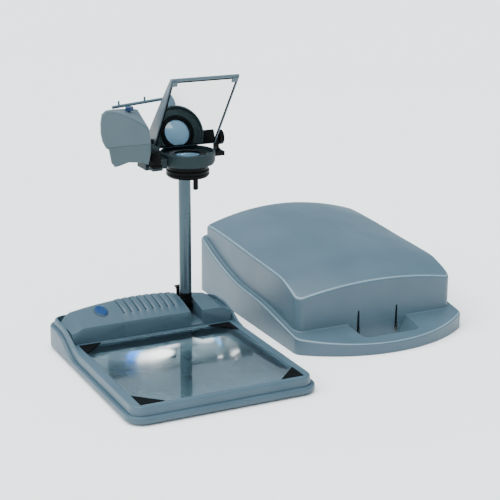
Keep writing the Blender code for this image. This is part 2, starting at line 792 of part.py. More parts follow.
def add_vent_cover(parent, grey):
    left = SWITCH_SEAM_X + SEAT_GAP / 2
    right = VENT_SEAM_X - SEAT_GAP / 2
    steps = RIB_COUNT * RIB_STEPS
    ribs = [FIRST_RIB_X + RIB_PITCH * k / RIB_STEPS for k in range(steps + 1)]
    places = [left] + ribs + [right]
    sections = [housing_section(x, HOUSING_FOOT, 0, True) for x in places]
    part = add_part("vent_cover", loft(sections), grey, parent)
    inner = section_places(left + HOUSING_WALL, right - HOUSING_WALL)
    cut(part, loft([housing_section(x, HOUSING_FOOT - CUT_OVERRUN, HOUSING_WALL) for x in inner]))
    slots = []
    floor = HOUSING_FRONT_HEIGHT - HOUSING_WALL - CUT_OVERRUN
    ceiling = CREST_HEIGHT + CUT_OVERRUN
    start = HOUSING_FRONT + RIB_FRONT
    for k in range(RIB_COUNT):
        x = FIRST_RIB_X + RIB_PITCH * k
        half = VENT_SLOT_WIDTH / 2
        outline = arc((x, start), VENT_KEYHOLE_RADIUS, 120, 420, SHORT_ARC_STEPS)
        outline += [(x + half, start + VENT_SLOT_LENGTH), (x - half, start + VENT_SLOT_LENGTH)]
        slots.append(prism(outline, floor, ceiling, "z"))
    cut(part, merge(*slots))


def add_hinge_housing(parent, grey):
    """The right-hand shell, with the open trough that the post folds along."""
    left = VENT_SEAM_X + SEAT_GAP / 2
    places = section_places(left, HOUSING_SIDE)
    sections = [housing_section(x, HOUSING_FOOT, 0) for x in places]
    part = add_part("hinge_housing", loft(sections), grey, parent)
    inner = section_places(SLOT_RIGHT + SLOT_WALL, HOUSING_SIDE - HOUSING_WALL)
    cut(part, loft([housing_section(x, HOUSING_FOOT - CUT_OVERRUN, HOUSING_WALL) for x in inner]))
    front = HOUSING_FRONT - CUT_OVERRUN
    back = HOUSING_BACK + CUT_OVERRUN
    top = CREST_HEIGHT + CUT_OVERRUN
    ramp = SLOT_FLOOR - SLOT_RAMP / 3
    outline = [(back, SLOT_FLOOR), (back, top), (front, top), (front, ramp - SLOT_RAMP / 3)]
    outline += [(HOUSING_FRONT + SLOT_RAMP / 3, ramp), (HOUSING_FRONT + SLOT_RAMP, SLOT_FLOOR)]
    cut(part, prism(outline, SLOT_LEFT, SLOT_RIGHT, "x"))
    cut(part, rod((0, POST_Y, PIVOT_Z), PIVOT_PIN_RADIUS + SEAT_GAP, SLOT_LEFT - SLOT_WALL / 2,
                  SLOT_RIGHT + SLOT_WALL / 2, "x", SMALL_SIDES))


# Power button, switch, inlet and transformer


def button_centre():
    y = HOUSING_FRONT + BUTTON_BACK
    return Vector((BUTTON_X, y, housing_top(BUTTON_X, y)))


def button_outline_solid(width, length, low, high, edge=0.0):
    """An oval block that lies along the housing's slope at the button."""
    centre = button_centre()
    along = Vector((0, cos(BUTTON_TILT), sin(BUTTON_TILT)))
    out = Vector((0, -sin(BUTTON_TILT), cos(BUTTON_TILT)))
    rows = [(low, 0.0), (high - edge, 0.0), (high - edge / 4, edge * ROUND_TURN_SHARE), (high, edge * 2)]
    if not edge:
        rows = [(low, 0.0), (high, 0.0)]
    rings = []
    for height, inset in rows:
        ring = []
        for k in range(ROUND_SIDES):
            angle = 2 * pi * k / ROUND_SIDES
            across = (width / 2 - inset) * cos(angle)
            ahead = (length / 2 - inset) * sin(angle)
            ring.append(centre + Vector((across, 0, 0)) + along * ahead + out * height)
        rings.append(ring)
    return loft(rings)


def switch_top():
    return button_centre().z - BUTTON_PLATE - BUTTON_STROKE - SEAT_GAP - SWITCH_HEIGHT / 2


def add_power_button(parent, blue, black):
    slide = add_empty("power_button_axis", tuple(button_centre()), parent)
    part = add_part("power_button", button_outline_solid(
        BUTTON_WIDTH, BUTTON_LENGTH, -BUTTON_PLATE, BUTTON_PROUD, BUTTON_PROUD / 2), blue, slide)
    bezel = add_part("button_bezel", button_outline_solid(
        BUTTON_WIDTH + 2 * BEZEL_WIDTH - 2 * SEAT_GAP, BUTTON_LENGTH + 2 * BEZEL_WIDTH - 2 * SEAT_GAP,
        -BUTTON_PLATE, BEZEL_PROUD, BEZEL_PROUD / 2), black, parent)
    cut(bezel, button_outline_solid(BUTTON_WIDTH + 2 * SEAT_GAP, BUTTON_LENGTH + 2 * SEAT_GAP,
                                    -HOUSING_BACK_ROUND, HOUSING_BACK_ROUND))
    top = switch_top()
    centre = button_centre()
    low = (BUTTON_X - BUTTON_STEM_WIDTH / 2, centre.y - BUTTON_STEM_WIDTH / 2, top + BUTTON_STROKE + SEAT_GAP)
    high = (BUTTON_X + BUTTON_STEM_WIDTH / 2, centre.y + BUTTON_STEM_WIDTH / 2, centre.z - BUTTON_PLATE / 2)
    join(part, block(low, high))
    low = (BUTTON_X - SWITCH_WIDTH / 2, centre.y - SWITCH_DEPTH / 2, HOUSING_FOOT)
    high = (BUTTON_X + SWITCH_WIDTH / 2, centre.y + SWITCH_DEPTH / 2, top)
    add_part("power_switch", block(low, high), black, parent)


def inlet_foot():
    return HOUSING_FOOT + INLET_FLANGE_LIP


def add_mains_inlet(parent, black, metal):
    foot = inlet_foot()
    back = HOUSING_BACK + INLET_FLANGE + SEAT_GAP
    low = (INLET_X - INLET_WIDTH / 2, back - INLET_DEPTH, HOUSING_FOOT)
    high = (INLET_X + INLET_WIDTH / 2, back, foot + INLET_HEIGHT)
    part = add_part("mains_inlet", block(low, high), black, parent)
    wall = INLET_SOCKET_WALL
    low = (INLET_X - INLET_WIDTH / 2 + wall, back - INLET_SOCKET_DEPTH, foot)
    high = (INLET_X + INLET_WIDTH / 2 - wall, back + CUT_OVERRUN, foot + INLET_HEIGHT - wall)
    cut(part, block(low, high))
    start = back - INLET_SOCKET_DEPTH + SEAT_GAP
    middle = foot + INLET_HEIGHT / 2
    for name, step in {"line": -1, "earth": 0, "neutral": 1}.items():
        x = INLET_X + step * INLET_PIN_PITCH
        low = (x - INLET_PIN_WIDTH / 2, start, middle - INLET_PIN_HEIGHT / 2)
        high = (x + INLET_PIN_WIDTH / 2, start + INLET_PIN_LENGTH, middle + INLET_PIN_HEIGHT / 2)
        add_part("inlet_pin_" + name, block(low, high), metal, parent)


def add_transformer(parent, metal, winding):
    middle = (HOUSING_FRONT + HOUSING_BACK) / 2
    low = (TRANSFORMER_X - CORE_WIDTH / 2, middle - CORE_DEPTH / 2, HOUSING_FOOT)
    high = (TRANSFORMER_X + CORE_WIDTH / 2, middle + CORE_DEPTH / 2, HOUSING_FOOT + CORE_HEIGHT)
    core = add_part("transformer_core", block(low, high), metal, parent)
    reach = CORE_DEPTH / 2 + COIL_OVERHANG
    floor = HOUSING_FOOT + (CORE_HEIGHT - COIL_HEIGHT) / 2
    low = (TRANSFORMER_X - COIL_WIDTH / 2, middle - reach, floor)
    high = (TRANSFORMER_X + COIL_WIDTH / 2, middle + reach, floor + COIL_HEIGHT)
    add_part("transformer_coil", block(low, high), winding, parent)
    gap = Vector((SEAT_GAP, SEAT_GAP, SEAT_GAP))
    cut(core, block(tuple(Vector(low) - gap), tuple(Vector(high) + gap)))


# Folding post


def add_post(parent, grey, black, metal):
    """The post folds forward about its pivot; returns the empty that carries it."""
    fold = add_empty("post_fold_axis", (POST_X, POST_Y, PIVOT_Z), parent)
    half = PIVOT_LINK_WIDTH / 2
    collar = rod((POST_X, POST_Y, 0), POST_RADIUS, COLLAR_BOTTOM, COLLAR_TOP, edge=SMALL_EDGE)
    link = add_part("pivot_link", collar, black, fold)
    join(link, rod((POST_X, POST_Y, 0), POST_RADIUS - POST_WALL - SEAT_GAP, COLLAR_TOP - SMALL_EDGE,
                   COLLAR_TOP + PLUG_LENGTH, sides=ROUND_SIDES))
    outline = arc((POST_Y, PIVOT_Z), PIVOT_LINK_RADIUS * LINK_TAPER_SHARE, 180, 360, ARC_STEPS)
    shoulder = POST_RADIUS * LINK_SHOULDER_SHARE
    for y in (POST_Y + shoulder, POST_Y - shoulder):
        outline.append((y, COLLAR_BOTTOM + SMALL_EDGE))
    join(link, prism(outline, POST_X - half, POST_X + half, "x"))
    cut(link, rod((0, POST_Y, PIVOT_Z), PIVOT_PIN_RADIUS + SEAT_GAP, POST_X - half - CUT_OVERRUN,
                  POST_X + half + CUT_OVERRUN, "x", SMALL_SIDES))
    reach = SLOT_WALL / 2 - SEAT_GAP
    pin = rod((0, POST_Y, PIVOT_Z), PIVOT_PIN_RADIUS, SLOT_LEFT - reach, SLOT_RIGHT + reach, "x", SMALL_SIDES)
    add_part("pivot_pin", pin, metal, parent)
    inner = POST_RADIUS - POST_WALL
    foot = COLLAR_TOP + SEAT_GAP
    profile = [(inner, foot), (POST_RADIUS, foot), (POST_RADIUS, POST_TOP), (inner, POST_TOP)]
    add_part("post_tube", turn(profile, (POST_X, POST_Y, 0), looped=True), grey, fold)
    return fold


def add_post_release(parent, black, metal):
    """The sprung catch behind the post, with its finger tab at the top of the slot."""
    swing = add_empty("post_release_axis", (POST_X, RELEASE_Y, RELEASE_Z), parent)
    left = POST_X - RELEASE_WIDTH / 2
    right = POST_X + RELEASE_WIDTH / 2
    front = RELEASE_Y - RELEASE_THICKNESS / 2
    back = RELEASE_Y + RELEASE_THICKNESS / 2
    top = RELEASE_Z + RELEASE_HEIGHT
    nose = POST_Y + PIVOT_LINK_RADIUS + 2 * RUNNING_GAP
    outline = arc((RELEASE_Y, RELEASE_Z), RELEASE_BOSS_RADIUS, 180, 360, SHORT_ARC_STEPS)
    outline += [(back, RELEASE_Z + RELEASE_BOSS_RADIUS), (back, top - RELEASE_THICKNESS),
                (back + RELEASE_TAB, top), (back, top + RELEASE_THICKNESS / 2),
                (front, top), (front, PIVOT_Z + RELEASE_THICKNESS),
                (nose, PIVOT_Z + RELEASE_THICKNESS / 2), (nose, PIVOT_Z - RELEASE_THICKNESS / 2),
                (front, PIVOT_Z - RELEASE_THICKNESS)]
    part = add_part("post_release", prism(outline, left, right, "x"), black, swing)
    cut(part, rod((0, RELEASE_Y, RELEASE_Z), RELEASE_PIN_RADIUS + SEAT_GAP, left - CUT_OVERRUN,
                  right + CUT_OVERRUN, "x", SMALL_SIDES))
    pin = rod((0, RELEASE_Y, RELEASE_Z), RELEASE_PIN_RADIUS, SLOT_LEFT + SEAT_GAP, SLOT_RIGHT - SEAT_GAP,
              "x", SMALL_SIDES)
    add_part("release_pin", pin, metal, parent)


# Lens head


def lens_place(height):
    return (LENS_X, LENS_Y, height)


def add_head_arm(parent, grey):
    """The hidden beam from the top of the post to the back of the lens ring."""
    cap_radius = POST_RADIUS + SEAT_GAP + ARM_CAP_WALL
    arm = add_part("head_arm", rod((POST_X, POST_Y, 0), cap_radius, POST_TOP - ARM_CAP_DEPTH, ARM_TOP,
                                   edge=SMALL_EDGE), grey, parent)
    start = Vector((POST_X, POST_Y, ARM_TOP - ARM_HEIGHT / 2))
    end = Vector((LENS_X, LENS_Y, (RING_BOTTOM + RING_TOP) / 2))
    ahead = (end - start).normalized()
    across = Vector((-ahead.y, ahead.x, 0)).normalized()
    end = end - ahead * RING_FOOT_RADIUS
    rings = []
    for centre, width, height in ((start, ARM_WIDTH, ARM_HEIGHT), (end, ARM_WIDTH, ARM_END_HEIGHT)):
        ring = []
        for k in range(SMALL_SIDES):
            angle = 2 * pi * k / SMALL_SIDES
            side = abs(cos(angle)) ** 0.5 * (1 if cos(angle) > 0 else -1)
            rise = abs(sin(angle)) ** 0.5 * (1 if sin(angle) > 0 else -1)
            ring.append(centre + across * (width / 2 * side) + Vector((0, 0, height / 2 * rise)))
        rings.append(ring)
    join(arm, loft(rings))
    cut(arm, rod(lens_place(0), RING_RADIUS + SEAT_GAP, RING_BOTTOM - CUT_OVERRUN, RING_TOP + CUT_OVERRUN,
                 sides=FINE_SIDES))
    cut(arm, rod((POST_X, POST_Y, 0), POST_RADIUS + SEAT_GAP, POST_TOP - ARM_CAP_DEPTH - CUT_OVERRUN,
                 POST_TOP + SEAT_GAP))


def add_lens_ring(parent, grey):
    bore = BARREL_RADIUS + SEAT_GAP
    inside = RING_RADIUS - RING_RIM
    profile = [
        (bore, RING_BOTTOM), (RING_FOOT_RADIUS, RING_BOTTOM),
        (RING_RADIUS - RING_FOOT_ROUND / 3, RING_BOTTOM + RING_FOOT_ROUND / 3),
        (RING_RADIUS, RING_BOTTOM + RING_FOOT_ROUND), (RING_RADIUS, RING_TOP - SMALL_EDGE),
        (RING_RADIUS - SMALL_EDGE, RING_TOP), (inside, RING_TOP), (inside, RING_TOP - RING_RECESS),
        (bore, RING_TOP - RING_RECESS),
    ]
    ring = add_part("lens_ring", turn(profile, lens_place(0), sides=FINE_SIDES, looped=True), grey, parent)
    top = RING_BOTTOM + SMALL_EDGE + BRIDGE_HEIGHT
    left = LAMP_RIGHT + SEAT_GAP
    right = LENS_X - inside - RING_RIM / 2
    low = (left, BRIDGE_Y - BRIDGE_DEPTH / 2, RING_BOTTOM + SMALL_EDGE)
    bridge = block(low, (right, BRIDGE_Y + BRIDGE_DEPTH / 2, top), SMALL_EDGE)
    join(ring, bridge)
    high = (ear_left() - EAR_THICKNESS - 2 * RUNNING_GAP, BRIDGE_Y + BRIDGE_DEPTH / 2 - SMALL_EDGE / 2,
            RING_BOTTOM + BRIDGE_POST_HEIGHT)
    join(ring, block((left, low[1] + SMALL_EDGE / 2, low[2] + SMALL_EDGE / 2), high))
    shelf_top = ADJUST_BOTTOM - SEAT_GAP
    low = (ADJUST_X - ADJUST_RADIUS, ADJUST_Y - ADJUST_RADIUS, shelf_top - ADJUST_SHELF)
    high = (ADJUST_X + ADJUST_RADIUS, BRIDGE_Y, shelf_top)
    join(ring, block(low, high))
    spindle = rod((ADJUST_X, ADJUST_Y, 0), ADJUST_SPINDLE_RADIUS, shelf_top - SMALL_EDGE,
                  shelf_top + ADJUST_SPINDLE_HEIGHT, sides=SMALL_SIDES)
    join(ring, spindle)


def add_barrel(parent, glass, black):
    """The lens barrel with its two lenses; the focus ring lifts and lowers it."""
    slide = add_empty("focus_slide_axis", lens_place(BARREL_BOTTOM), parent)
    bore = LENS_RADIUS + SEAT_GAP
    throat = LENS_RADIUS - LENS_SEAT
    seat_low = BARREL_BOTTOM + LENS_EDGE + LENS_CROWN + BARREL_LIP / 3
    seat_high = BARREL_TOP - LENS_EDGE - LENS_CROWN - BARREL_LIP / 3
    profile = [
        (bore, BARREL_BOTTOM), (BARREL_RADIUS, BARREL_BOTTOM),
        (BARREL_RADIUS, BARREL_TOP), (bore, BARREL_TOP),
        (bore, seat_high), (throat, seat_high), (throat, seat_low), (bore, seat_low),
    ]
    add_part("lens_barrel", turn(profile, lens_place(0), sides=FINE_SIDES, looped=True), black, slide)
    for name, seat, way in (("objective_lens", seat_high, 1), ("field_lens", seat_low, -1)):
        start = seat + way * SEAT_GAP
        rim = start + way * LENS_EDGE
        profile = [(0, start), (LENS_RADIUS, start), (LENS_RADIUS, rim)]
        for k in range(1, LENS_RINGS):
            radius = LENS_RADIUS * (1 - k / LENS_RINGS)
            profile.append((radius, rim + way * LENS_CROWN * (1 - (radius / LENS_RADIUS) ** 2)))
        profile.append((0, rim + way * LENS_CROWN))
        add_part(name, turn(profile, lens_place(0), sides=FINE_SIDES), glass, slide)


def add_focus_ring(parent, black):
    spin = add_empty("focus_turn_axis", lens_place(RING_BOTTOM), parent)
    bore = BARREL_RADIUS + SEAT_GAP
    top = RING_BOTTOM - SEAT_GAP
    step = top - FOCUS_NECK_HEIGHT
    foot = step - FOCUS_HEIGHT
    middle = (step + foot) / 2
    profile = [
        (bore, foot), (FOCUS_RADIUS - FOCUS_CHAMFER, foot), (FOCUS_RADIUS, foot + FOCUS_CHAMFER),
        (FOCUS_RADIUS, middle - FOCUS_GROOVE / 2), (FOCUS_RADIUS - FOCUS_GROOVE, middle),
        (FOCUS_RADIUS, middle + FOCUS_GROOVE / 2), (FOCUS_RADIUS, step - SMALL_EDGE),
        (FOCUS_RADIUS - SMALL_EDGE, step), (FOCUS_NECK_RADIUS, step), (FOCUS_NECK_RADIUS, top), (bore, top),
    ]
    ring = add_part("focus_ring", turn(profile, lens_place(0), sides=FINE_SIDES, looped=True), black, spin)
    join(ring, rod((LENS_X, LENS_Y - PEG_OFFSET, 0), PEG_RADIUS, foot - PEG_LENGTH, foot + FOCUS_CHAMFER,
                   sides=SMALL_SIDES, edge=SMALL_EDGE))
    cut(ring, rod(lens_place(0), bore, foot - SEAT_GAP, foot + 2 * FOCUS_CHAMFER, sides=FINE_SIDES))


def ribbed_profile(centre, radius, depth, count):
    """A round outline with fine straight ribs, two points to each rib and each groove."""
    points = []
    for k in range(4 * count):
        reach = radius if k % 4 < 2 else radius - depth
        angle = 2 * pi * k / (4 * count)
        points.append((centre[0] + reach * cos(angle), centre[1] + reach * sin(angle)))
    return points


def add_adjust_knob(parent, black):
    """The ribbed knob that centres the lamp, on its spindle in front of the bridge."""
    spin = add_empty("lamp_adjust_axis", (ADJUST_X, ADJUST_Y, ADJUST_BOTTOM), parent)
    middle = ADJUST_BOTTOM + ADJUST_FOOT_HEIGHT
    collar = rod((ADJUST_X, ADJUST_Y, 0), ADJUST_FOOT_RADIUS, ADJUST_BOTTOM, middle, sides=ROUND_SIDES)
    knob = add_part("lamp_adjust_knob", collar, black, spin)
    outline = ribbed_profile((ADJUST_X, ADJUST_Y), ADJUST_RADIUS, ADJUST_RIB_DEPTH, ADJUST_RIBS)
    join(knob, prism(outline, middle - SMALL_EDGE, ADJUST_BOTTOM + ADJUST_HEIGHT, "z"))
    top = ADJUST_BOTTOM + ADJUST_SPINDLE_HEIGHT + SEAT_GAP
    cut(knob, rod((ADJUST_X, ADJUST_Y, 0), ADJUST_SPINDLE_RADIUS + SEAT_GAP, ADJUST_BOTTOM - CUT_OVERRUN, top,
                  sides=SMALL_SIDES))


# Lamp housing


def lamp_section(y, back_share, inset):
    """The lamp housing's outline at a depth; its top levels out towards the back."""
    level = dict(LAMP_BACK_TOP_SHARES)
    shrink_x = 1 - 2 * inset / LAMP_WIDTH
    shrink_z = 1 - 2 * inset / LAMP_HEIGHT
    points = []
    for across, up in LAMP_OUTLINE_SHARES:
        if up > LAMP_CROWN_SHARE and across in level:
            up += (level[across] - up) * back_share
        x = LAMP_LEFT + LAMP_WIDTH * (0.5 + (across - 0.5) * shrink_x)
        z = LAMP_BOTTOM + LAMP_HEIGHT * (0.5 + (up - 0.5) * shrink_z)
        points.append((x, y, z))
    return points


def lamp_solid(inset):
    rings = []
    edge = LAMP_EDGE_ROUND if not inset else 0.0
    for share, edge_share in LAMP_DEPTH_SHARES:
        y = LAMP_FRONT + inset + (LAMP_DEPTH - 2 * inset) * share
        rings.append(lamp_section(y, share, inset + edge * edge_share))
    return loft(rings)


def lamp_half_space(upper):
    """A block over everything of the lamp housing above, or below, its seam."""
    far = LAMP_HEIGHT
    left = LAMP_LEFT - far
    right = LAMP_RIGHT + far
    if upper:
        low = (left, LAMP_FRONT - far, LAMP_SEAM - SEAT_GAP / 2)
        return block(low, (right, LAMP_BACK + far, LAMP_SEAM + far))
    low = (left, LAMP_FRONT - far, LAMP_SEAM - far)
    return block(low, (right, LAMP_BACK + far, LAMP_SEAM + SEAT_GAP / 2))


def window_centre():
    return (LAMP_LEFT + LAMP_WIDTH * WINDOW_X_SHARE, LAMP_FRONT + LAMP_DEPTH * WINDOW_Y_SHARE, 0)


def window_bottom():
    return LAMP_BOTTOM + LAMP_WALL


def changer_place():
    return (LAMP_LEFT + LAMP_WIDTH * CHANGER_X_SHARE, LAMP_FRONT + LAMP_DEPTH * CHANGER_Y_SHARE)


def lamp_top(across_share, back_share):
    """Height of the lamp housing's top at shares of its width and depth."""
    front = from_shares(sorted((x, z) for x, z in LAMP_OUTLINE_SHARES if z > LAMP_CROWN_SHARE), across_share)
    back = from_shares(LAMP_BACK_TOP_SHARES, across_share)
    return LAMP_BOTTOM + LAMP_HEIGHT * (front + (back - front) * back_share)


def changer_floor():
    return lamp_top(CHANGER_X_SHARE, CHANGER_Y_SHARE)


def add_lamp_housing(parent, grey):
    upper = add_part("lamp_housing_upper", lamp_solid(0), grey, parent)
    cut(upper, lamp_half_space(False))
    cut(upper, lamp_solid(LAMP_WALL))
    x, y = changer_place()
    floor = changer_floor()
    hole = rod((x, y, 0), CHANGER_SHAFT_RADIUS + SEAT_GAP, floor - CHANGER_RADIUS, floor + CHANGER_RADIUS,
               sides=SMALL_SIDES)
    cut(upper, hole)
    lower = add_part("lamp_housing_lower", lamp_solid(0), grey, parent)
    cut(lower, lamp_half_space(True))
    cut(lower, lamp_solid(LAMP_WALL))
    cut(lower, rod(window_centre(), WINDOW_RADIUS + SEAT_GAP, LAMP_BOTTOM - CUT_OVERRUN, LAMP_SEAM))


def add_lamp(parent, glass, metal, black, mirror):
    centre = window_centre()
    low = window_bottom()
    top = low + WINDOW_THICKNESS + WINDOW_COLLAR
    add_part("lamp_window", rod(centre, WINDOW_RADIUS, low, top, edge=SMALL_EDGE), glass, parent)
    rim = top + SEAT_GAP
    peak = rim + REFLECTOR_DEPTH
    outside = []
    inside = []
    for k in range(6):
        share = k / 5
        radius = WINDOW_RADIUS - SMALL_EDGE
        radius += (REFLECTOR_NECK_RADIUS - radius) * share ** REFLECTOR_CURVE
        outside.append((radius, rim + (peak - rim) * share))
        inside.append((radius - REFLECTOR_WALL, rim + (peak - rim) * share))
    bowl = turn(outside + inside[::-1], centre, sides=SMALL_SIDES, looped=True)
    add_part("lamp_reflector", bowl, mirror, parent)
    socket_foot = peak + SEAT_GAP
    socket_top = socket_foot + SOCKET_HEIGHT
    socket = rod(centre, SOCKET_RADIUS, socket_foot, socket_top, sides=ROUND_SIDES)
    add_part("lamp_socket", socket, black, parent)
    bulb_top = socket_foot - SEAT_GAP
    profile = [
        (0, bulb_top - BULB_LENGTH + BULB_TIP_LIFT),
        (BULB_RADIUS * BULB_TIP_SHARE, bulb_top - BULB_LENGTH + BULB_TIP_LIFT + BULB_TIP_ROUND),
        (BULB_RADIUS, bulb_top - BULB_LENGTH + BULB_SHOULDER_LIFT),
        (BULB_RADIUS, bulb_top), (0, bulb_top),
    ]
    add_part("halogen_lamp", turn(profile, centre, sides=SMALL_SIDES), glass, parent)


def add_lamp_fittings(parent, grey, blue):
    y = LAMP_BACK - RAIL_Y_INSET
    z = lamp_top(RAIL_START_SHARE, 1 - RAIL_Y_INSET / LAMP_DEPTH) + RAIL_RADIUS + SEAT_GAP
    start = LAMP_LEFT + LAMP_WIDTH * RAIL_START_SHARE
    bar = rod((0, y, z), RAIL_RADIUS, start, start + RAIL_LENGTH, "x", SMALL_SIDES)
    rail = add_part("lamp_rail", bar, grey, parent)
    for share in RAIL_PEG_SHARES:
        x = start + RAIL_LENGTH * share
        join(rail, rod((x, y, 0), RAIL_PEG_RADIUS, z, z + RAIL_PEG_HEIGHT, sides=SMALL_SIDES))
    x, y = changer_place()
    floor = changer_floor() + CHANGER_GRIP
    spin = add_empty("lamp_changer_axis", (x, y, floor), parent)
    cap = rod((x, y, 0), CHANGER_RADIUS, floor, floor + CHANGER_HEIGHT, sides=ROUND_SIDES, edge=SMALL_EDGE)
    knob = add_part("lamp_changer_knob", cap, blue, spin)
    shaft_foot = floor - CHANGER_RADIUS
    join(knob, rod((x, y, 0), CHANGER_SHAFT_RADIUS, shaft_foot, floor + SMALL_EDGE, sides=SMALL_SIDES))


# Projection mirror


def mirror_point(x, along, behind):
    """A place on the mirror: along its slope from the axis, and behind its face."""
    back = behind - MIRROR_OFFSET
    y = MIRROR_AXIS_Y - along * cos(MIRROR_TILT) + back * sin(MIRROR_TILT)
    z = MIRROR_AXIS_Z + along * sin(MIRROR_TILT) + back * cos(MIRROR_TILT)
    return (x, y, z)


def mirror_right(along):
    share = (along + MIRROR_BELOW_AXIS) / MIRROR_LENGTH
    return MIRROR_RIGHT - MIRROR_FOOT_NARROWING * (1 - share)


def mirror_slab(outline, margin):
    """Push a side outline from the mirror's left edge to its right, margin wider each way."""
    left = [mirror_point(MIRROR_LEFT - margin, along, behind) for along, behind in outline]
    right = [mirror_point(mirror_right(along) + margin, along, behind) for along, behind in outline]
    return loft([left, right])


def ear_left():
    return MIRROR_LEFT - HOOD_LIP - RUNNING_GAP


def ear_right():
    return MIRROR_RIGHT - MIRROR_FOOT_NARROWING + HOOD_LIP + 3 * RUNNING_GAP


def add_mirror(parent, grey, black, glass, metal):
    tilt = add_empty("mirror_tilt_axis", (0, MIRROR_AXIS_Y, MIRROR_AXIS_Z), parent)
    foot = -MIRROR_BELOW_AXIS
    top = foot + MIRROR_LENGTH
    outline = [
        (foot, 0), (top, 0), (top + HOOD_ROUND, HOOD_ROUND),
        (top + HOOD_ROUND, HOOD_TOP_DEPTH - HOOD_ROUND),
        (top, HOOD_TOP_DEPTH), (foot + MIRROR_LENGTH * HOOD_BELLY_SHARE, HOOD_BELLY_DEPTH),
        (foot + MIRROR_LENGTH * HOOD_HEEL_SHARE, HOOD_FOOT_DEPTH - HOOD_WALL),
        (foot + HOOD_FOOT_DEPTH / 3, HOOD_FOOT_DEPTH),
        (foot, HOOD_FOOT_DEPTH - HOOD_WALL),
    ]
    hood = add_part("mirror_hood", mirror_slab(outline, HOOD_LIP), grey, tilt)
    deep = MIRROR_THICKNESS + SEAT_GAP
    recess = [(foot + HOOD_LIP, -CUT_OVERRUN), (top - HOOD_LIP, -CUT_OVERRUN), (top - HOOD_LIP, deep),
              (foot + HOOD_LIP, deep)]
    cut(hood, mirror_slab(recess, 0))
    cut(hood, rod((0, MIRROR_AXIS_Y, MIRROR_AXIS_Z), MIRROR_PIN_RADIUS + SEAT_GAP, ear_left() - CUT_OVERRUN,
                  ear_right() + CUT_OVERRUN, "x", SMALL_SIDES))
    low = foot + HOOD_LIP + SEAT_GAP
    high = top - HOOD_LIP - SEAT_GAP
    plate = [(low, 0), (high, 0), (high, MIRROR_THICKNESS), (low, MIRROR_THICKNESS)]
    add_part("projection_mirror", mirror_slab(plate, -SEAT_GAP), glass, tilt)
    for name, at in {"left": MIRROR_LEFT, "right": MIRROR_RIGHT - MIRROR_CLIP}.items():
        rings = []
        for behind in (-SEAT_GAP - MIRROR_CLIP_THICKNESS, -SEAT_GAP):
            rings.append([mirror_point(at + across, top - HOOD_ROUND - along, behind) for across, along in
                          ((0, 0), (MIRROR_CLIP, 0), (MIRROR_CLIP, MIRROR_CLIP), (0, MIRROR_CLIP))])
        add_part("mirror_clip_" + name, loft(rings), black, tilt)
    add_mirror_bearing(parent, black, metal)


def add_mirror_bearing(parent, black, metal):
    """The two ears beside the lens ring, the pin through them and the clamp knob on its end."""
    foot_low = RING_BOTTOM + RING_FOOT_ROUND + SMALL_EDGE
    foot_high = RING_TOP - RING_RECESS
    ring_gap = RING_RADIUS + SEAT_GAP
    ear_back = MIRROR_AXIS_Y + EAR_RADIUS
    bridge_back = BRIDGE_Y + BRIDGE_DEPTH / 2 + RUNNING_GAP
    sides = {
        "left": (ear_left() - EAR_THICKNESS, ear_left(), LENS_X - RING_RADIUS / 2, bridge_back, ear_back),
        "right": (ear_right(), ear_right() + EAR_THICKNESS, LENS_X + RING_RADIUS / 2, BRIDGE_Y,
                  MIRROR_AXIS_Y - EAR_RADIUS),
    }
    for name, (low_x, high_x, inner_x, front, back) in sides.items():
        outline = [(max(front, MIRROR_AXIS_Y - 2 * EAR_RADIUS), foot_low), (ear_back, foot_low)]
        outline += arc((MIRROR_AXIS_Y, MIRROR_AXIS_Z), EAR_RADIUS, 0, 180, EAR_STEPS)
        outline += [(MIRROR_AXIS_Y - EAR_RADIUS, foot_high + SMALL_EDGE)]
        outline += [(max(front, MIRROR_AXIS_Y - 2 * EAR_RADIUS), foot_high)]
        ear = add_part("mirror_ear_" + name, prism(outline, low_x, high_x, "x"), black, parent)
        left = min(low_x, inner_x) + SMALL_EDGE / 2
        right = max(high_x, inner_x) - SMALL_EDGE / 2
        high = (right, back - SMALL_EDGE / 2, foot_high - SMALL_EDGE / 2)
        join(ear, block((left, front, foot_low + SMALL_EDGE / 2), high))
        cut(ear, rod(lens_place(0), ring_gap, RING_BOTTOM - CUT_OVERRUN, RING_TOP + CUT_OVERRUN,
                     sides=FINE_SIDES))
        cut(ear, rod((0, MIRROR_AXIS_Y, MIRROR_AXIS_Z), MIRROR_PIN_RADIUS + SEAT_GAP, low_x - CUT_OVERRUN,
                     high_x + CUT_OVERRUN, "x", SMALL_SIDES))
    pin_start = ear_left() - EAR_THICKNESS - RUNNING_GAP
    knob_start = ear_right() + EAR_THICKNESS + SEAT_GAP
    pin_end = knob_start + MIRROR_KNOB_WIDTH / 2
    centre = (0, MIRROR_AXIS_Y, MIRROR_AXIS_Z)
    pin = rod(centre, MIRROR_PIN_RADIUS, pin_start, pin_end, "x", SMALL_SIDES)
    add_part("mirror_pin", pin, metal, parent)
    spin = add_empty("mirror_clamp_axis", (knob_start, MIRROR_AXIS_Y, MIRROR_AXIS_Z), parent)
    outline = ribbed_profile((MIRROR_AXIS_Y, MIRROR_AXIS_Z), MIRROR_KNOB_RADIUS, MIRROR_KNOB_RIB_DEPTH,
                             MIRROR_KNOB_RIBS)
    wheel = prism(outline, knob_start, knob_start + MIRROR_KNOB_WIDTH, "x")
    knob = add_part("mirror_clamp_knob", wheel, black, spin)
    cut(knob, rod(centre, MIRROR_PIN_RADIUS + SEAT_GAP, knob_start - CUT_OVERRUN, pin_end + SEAT_GAP, "x",
                  SMALL_SIDES))


# Carrying cover


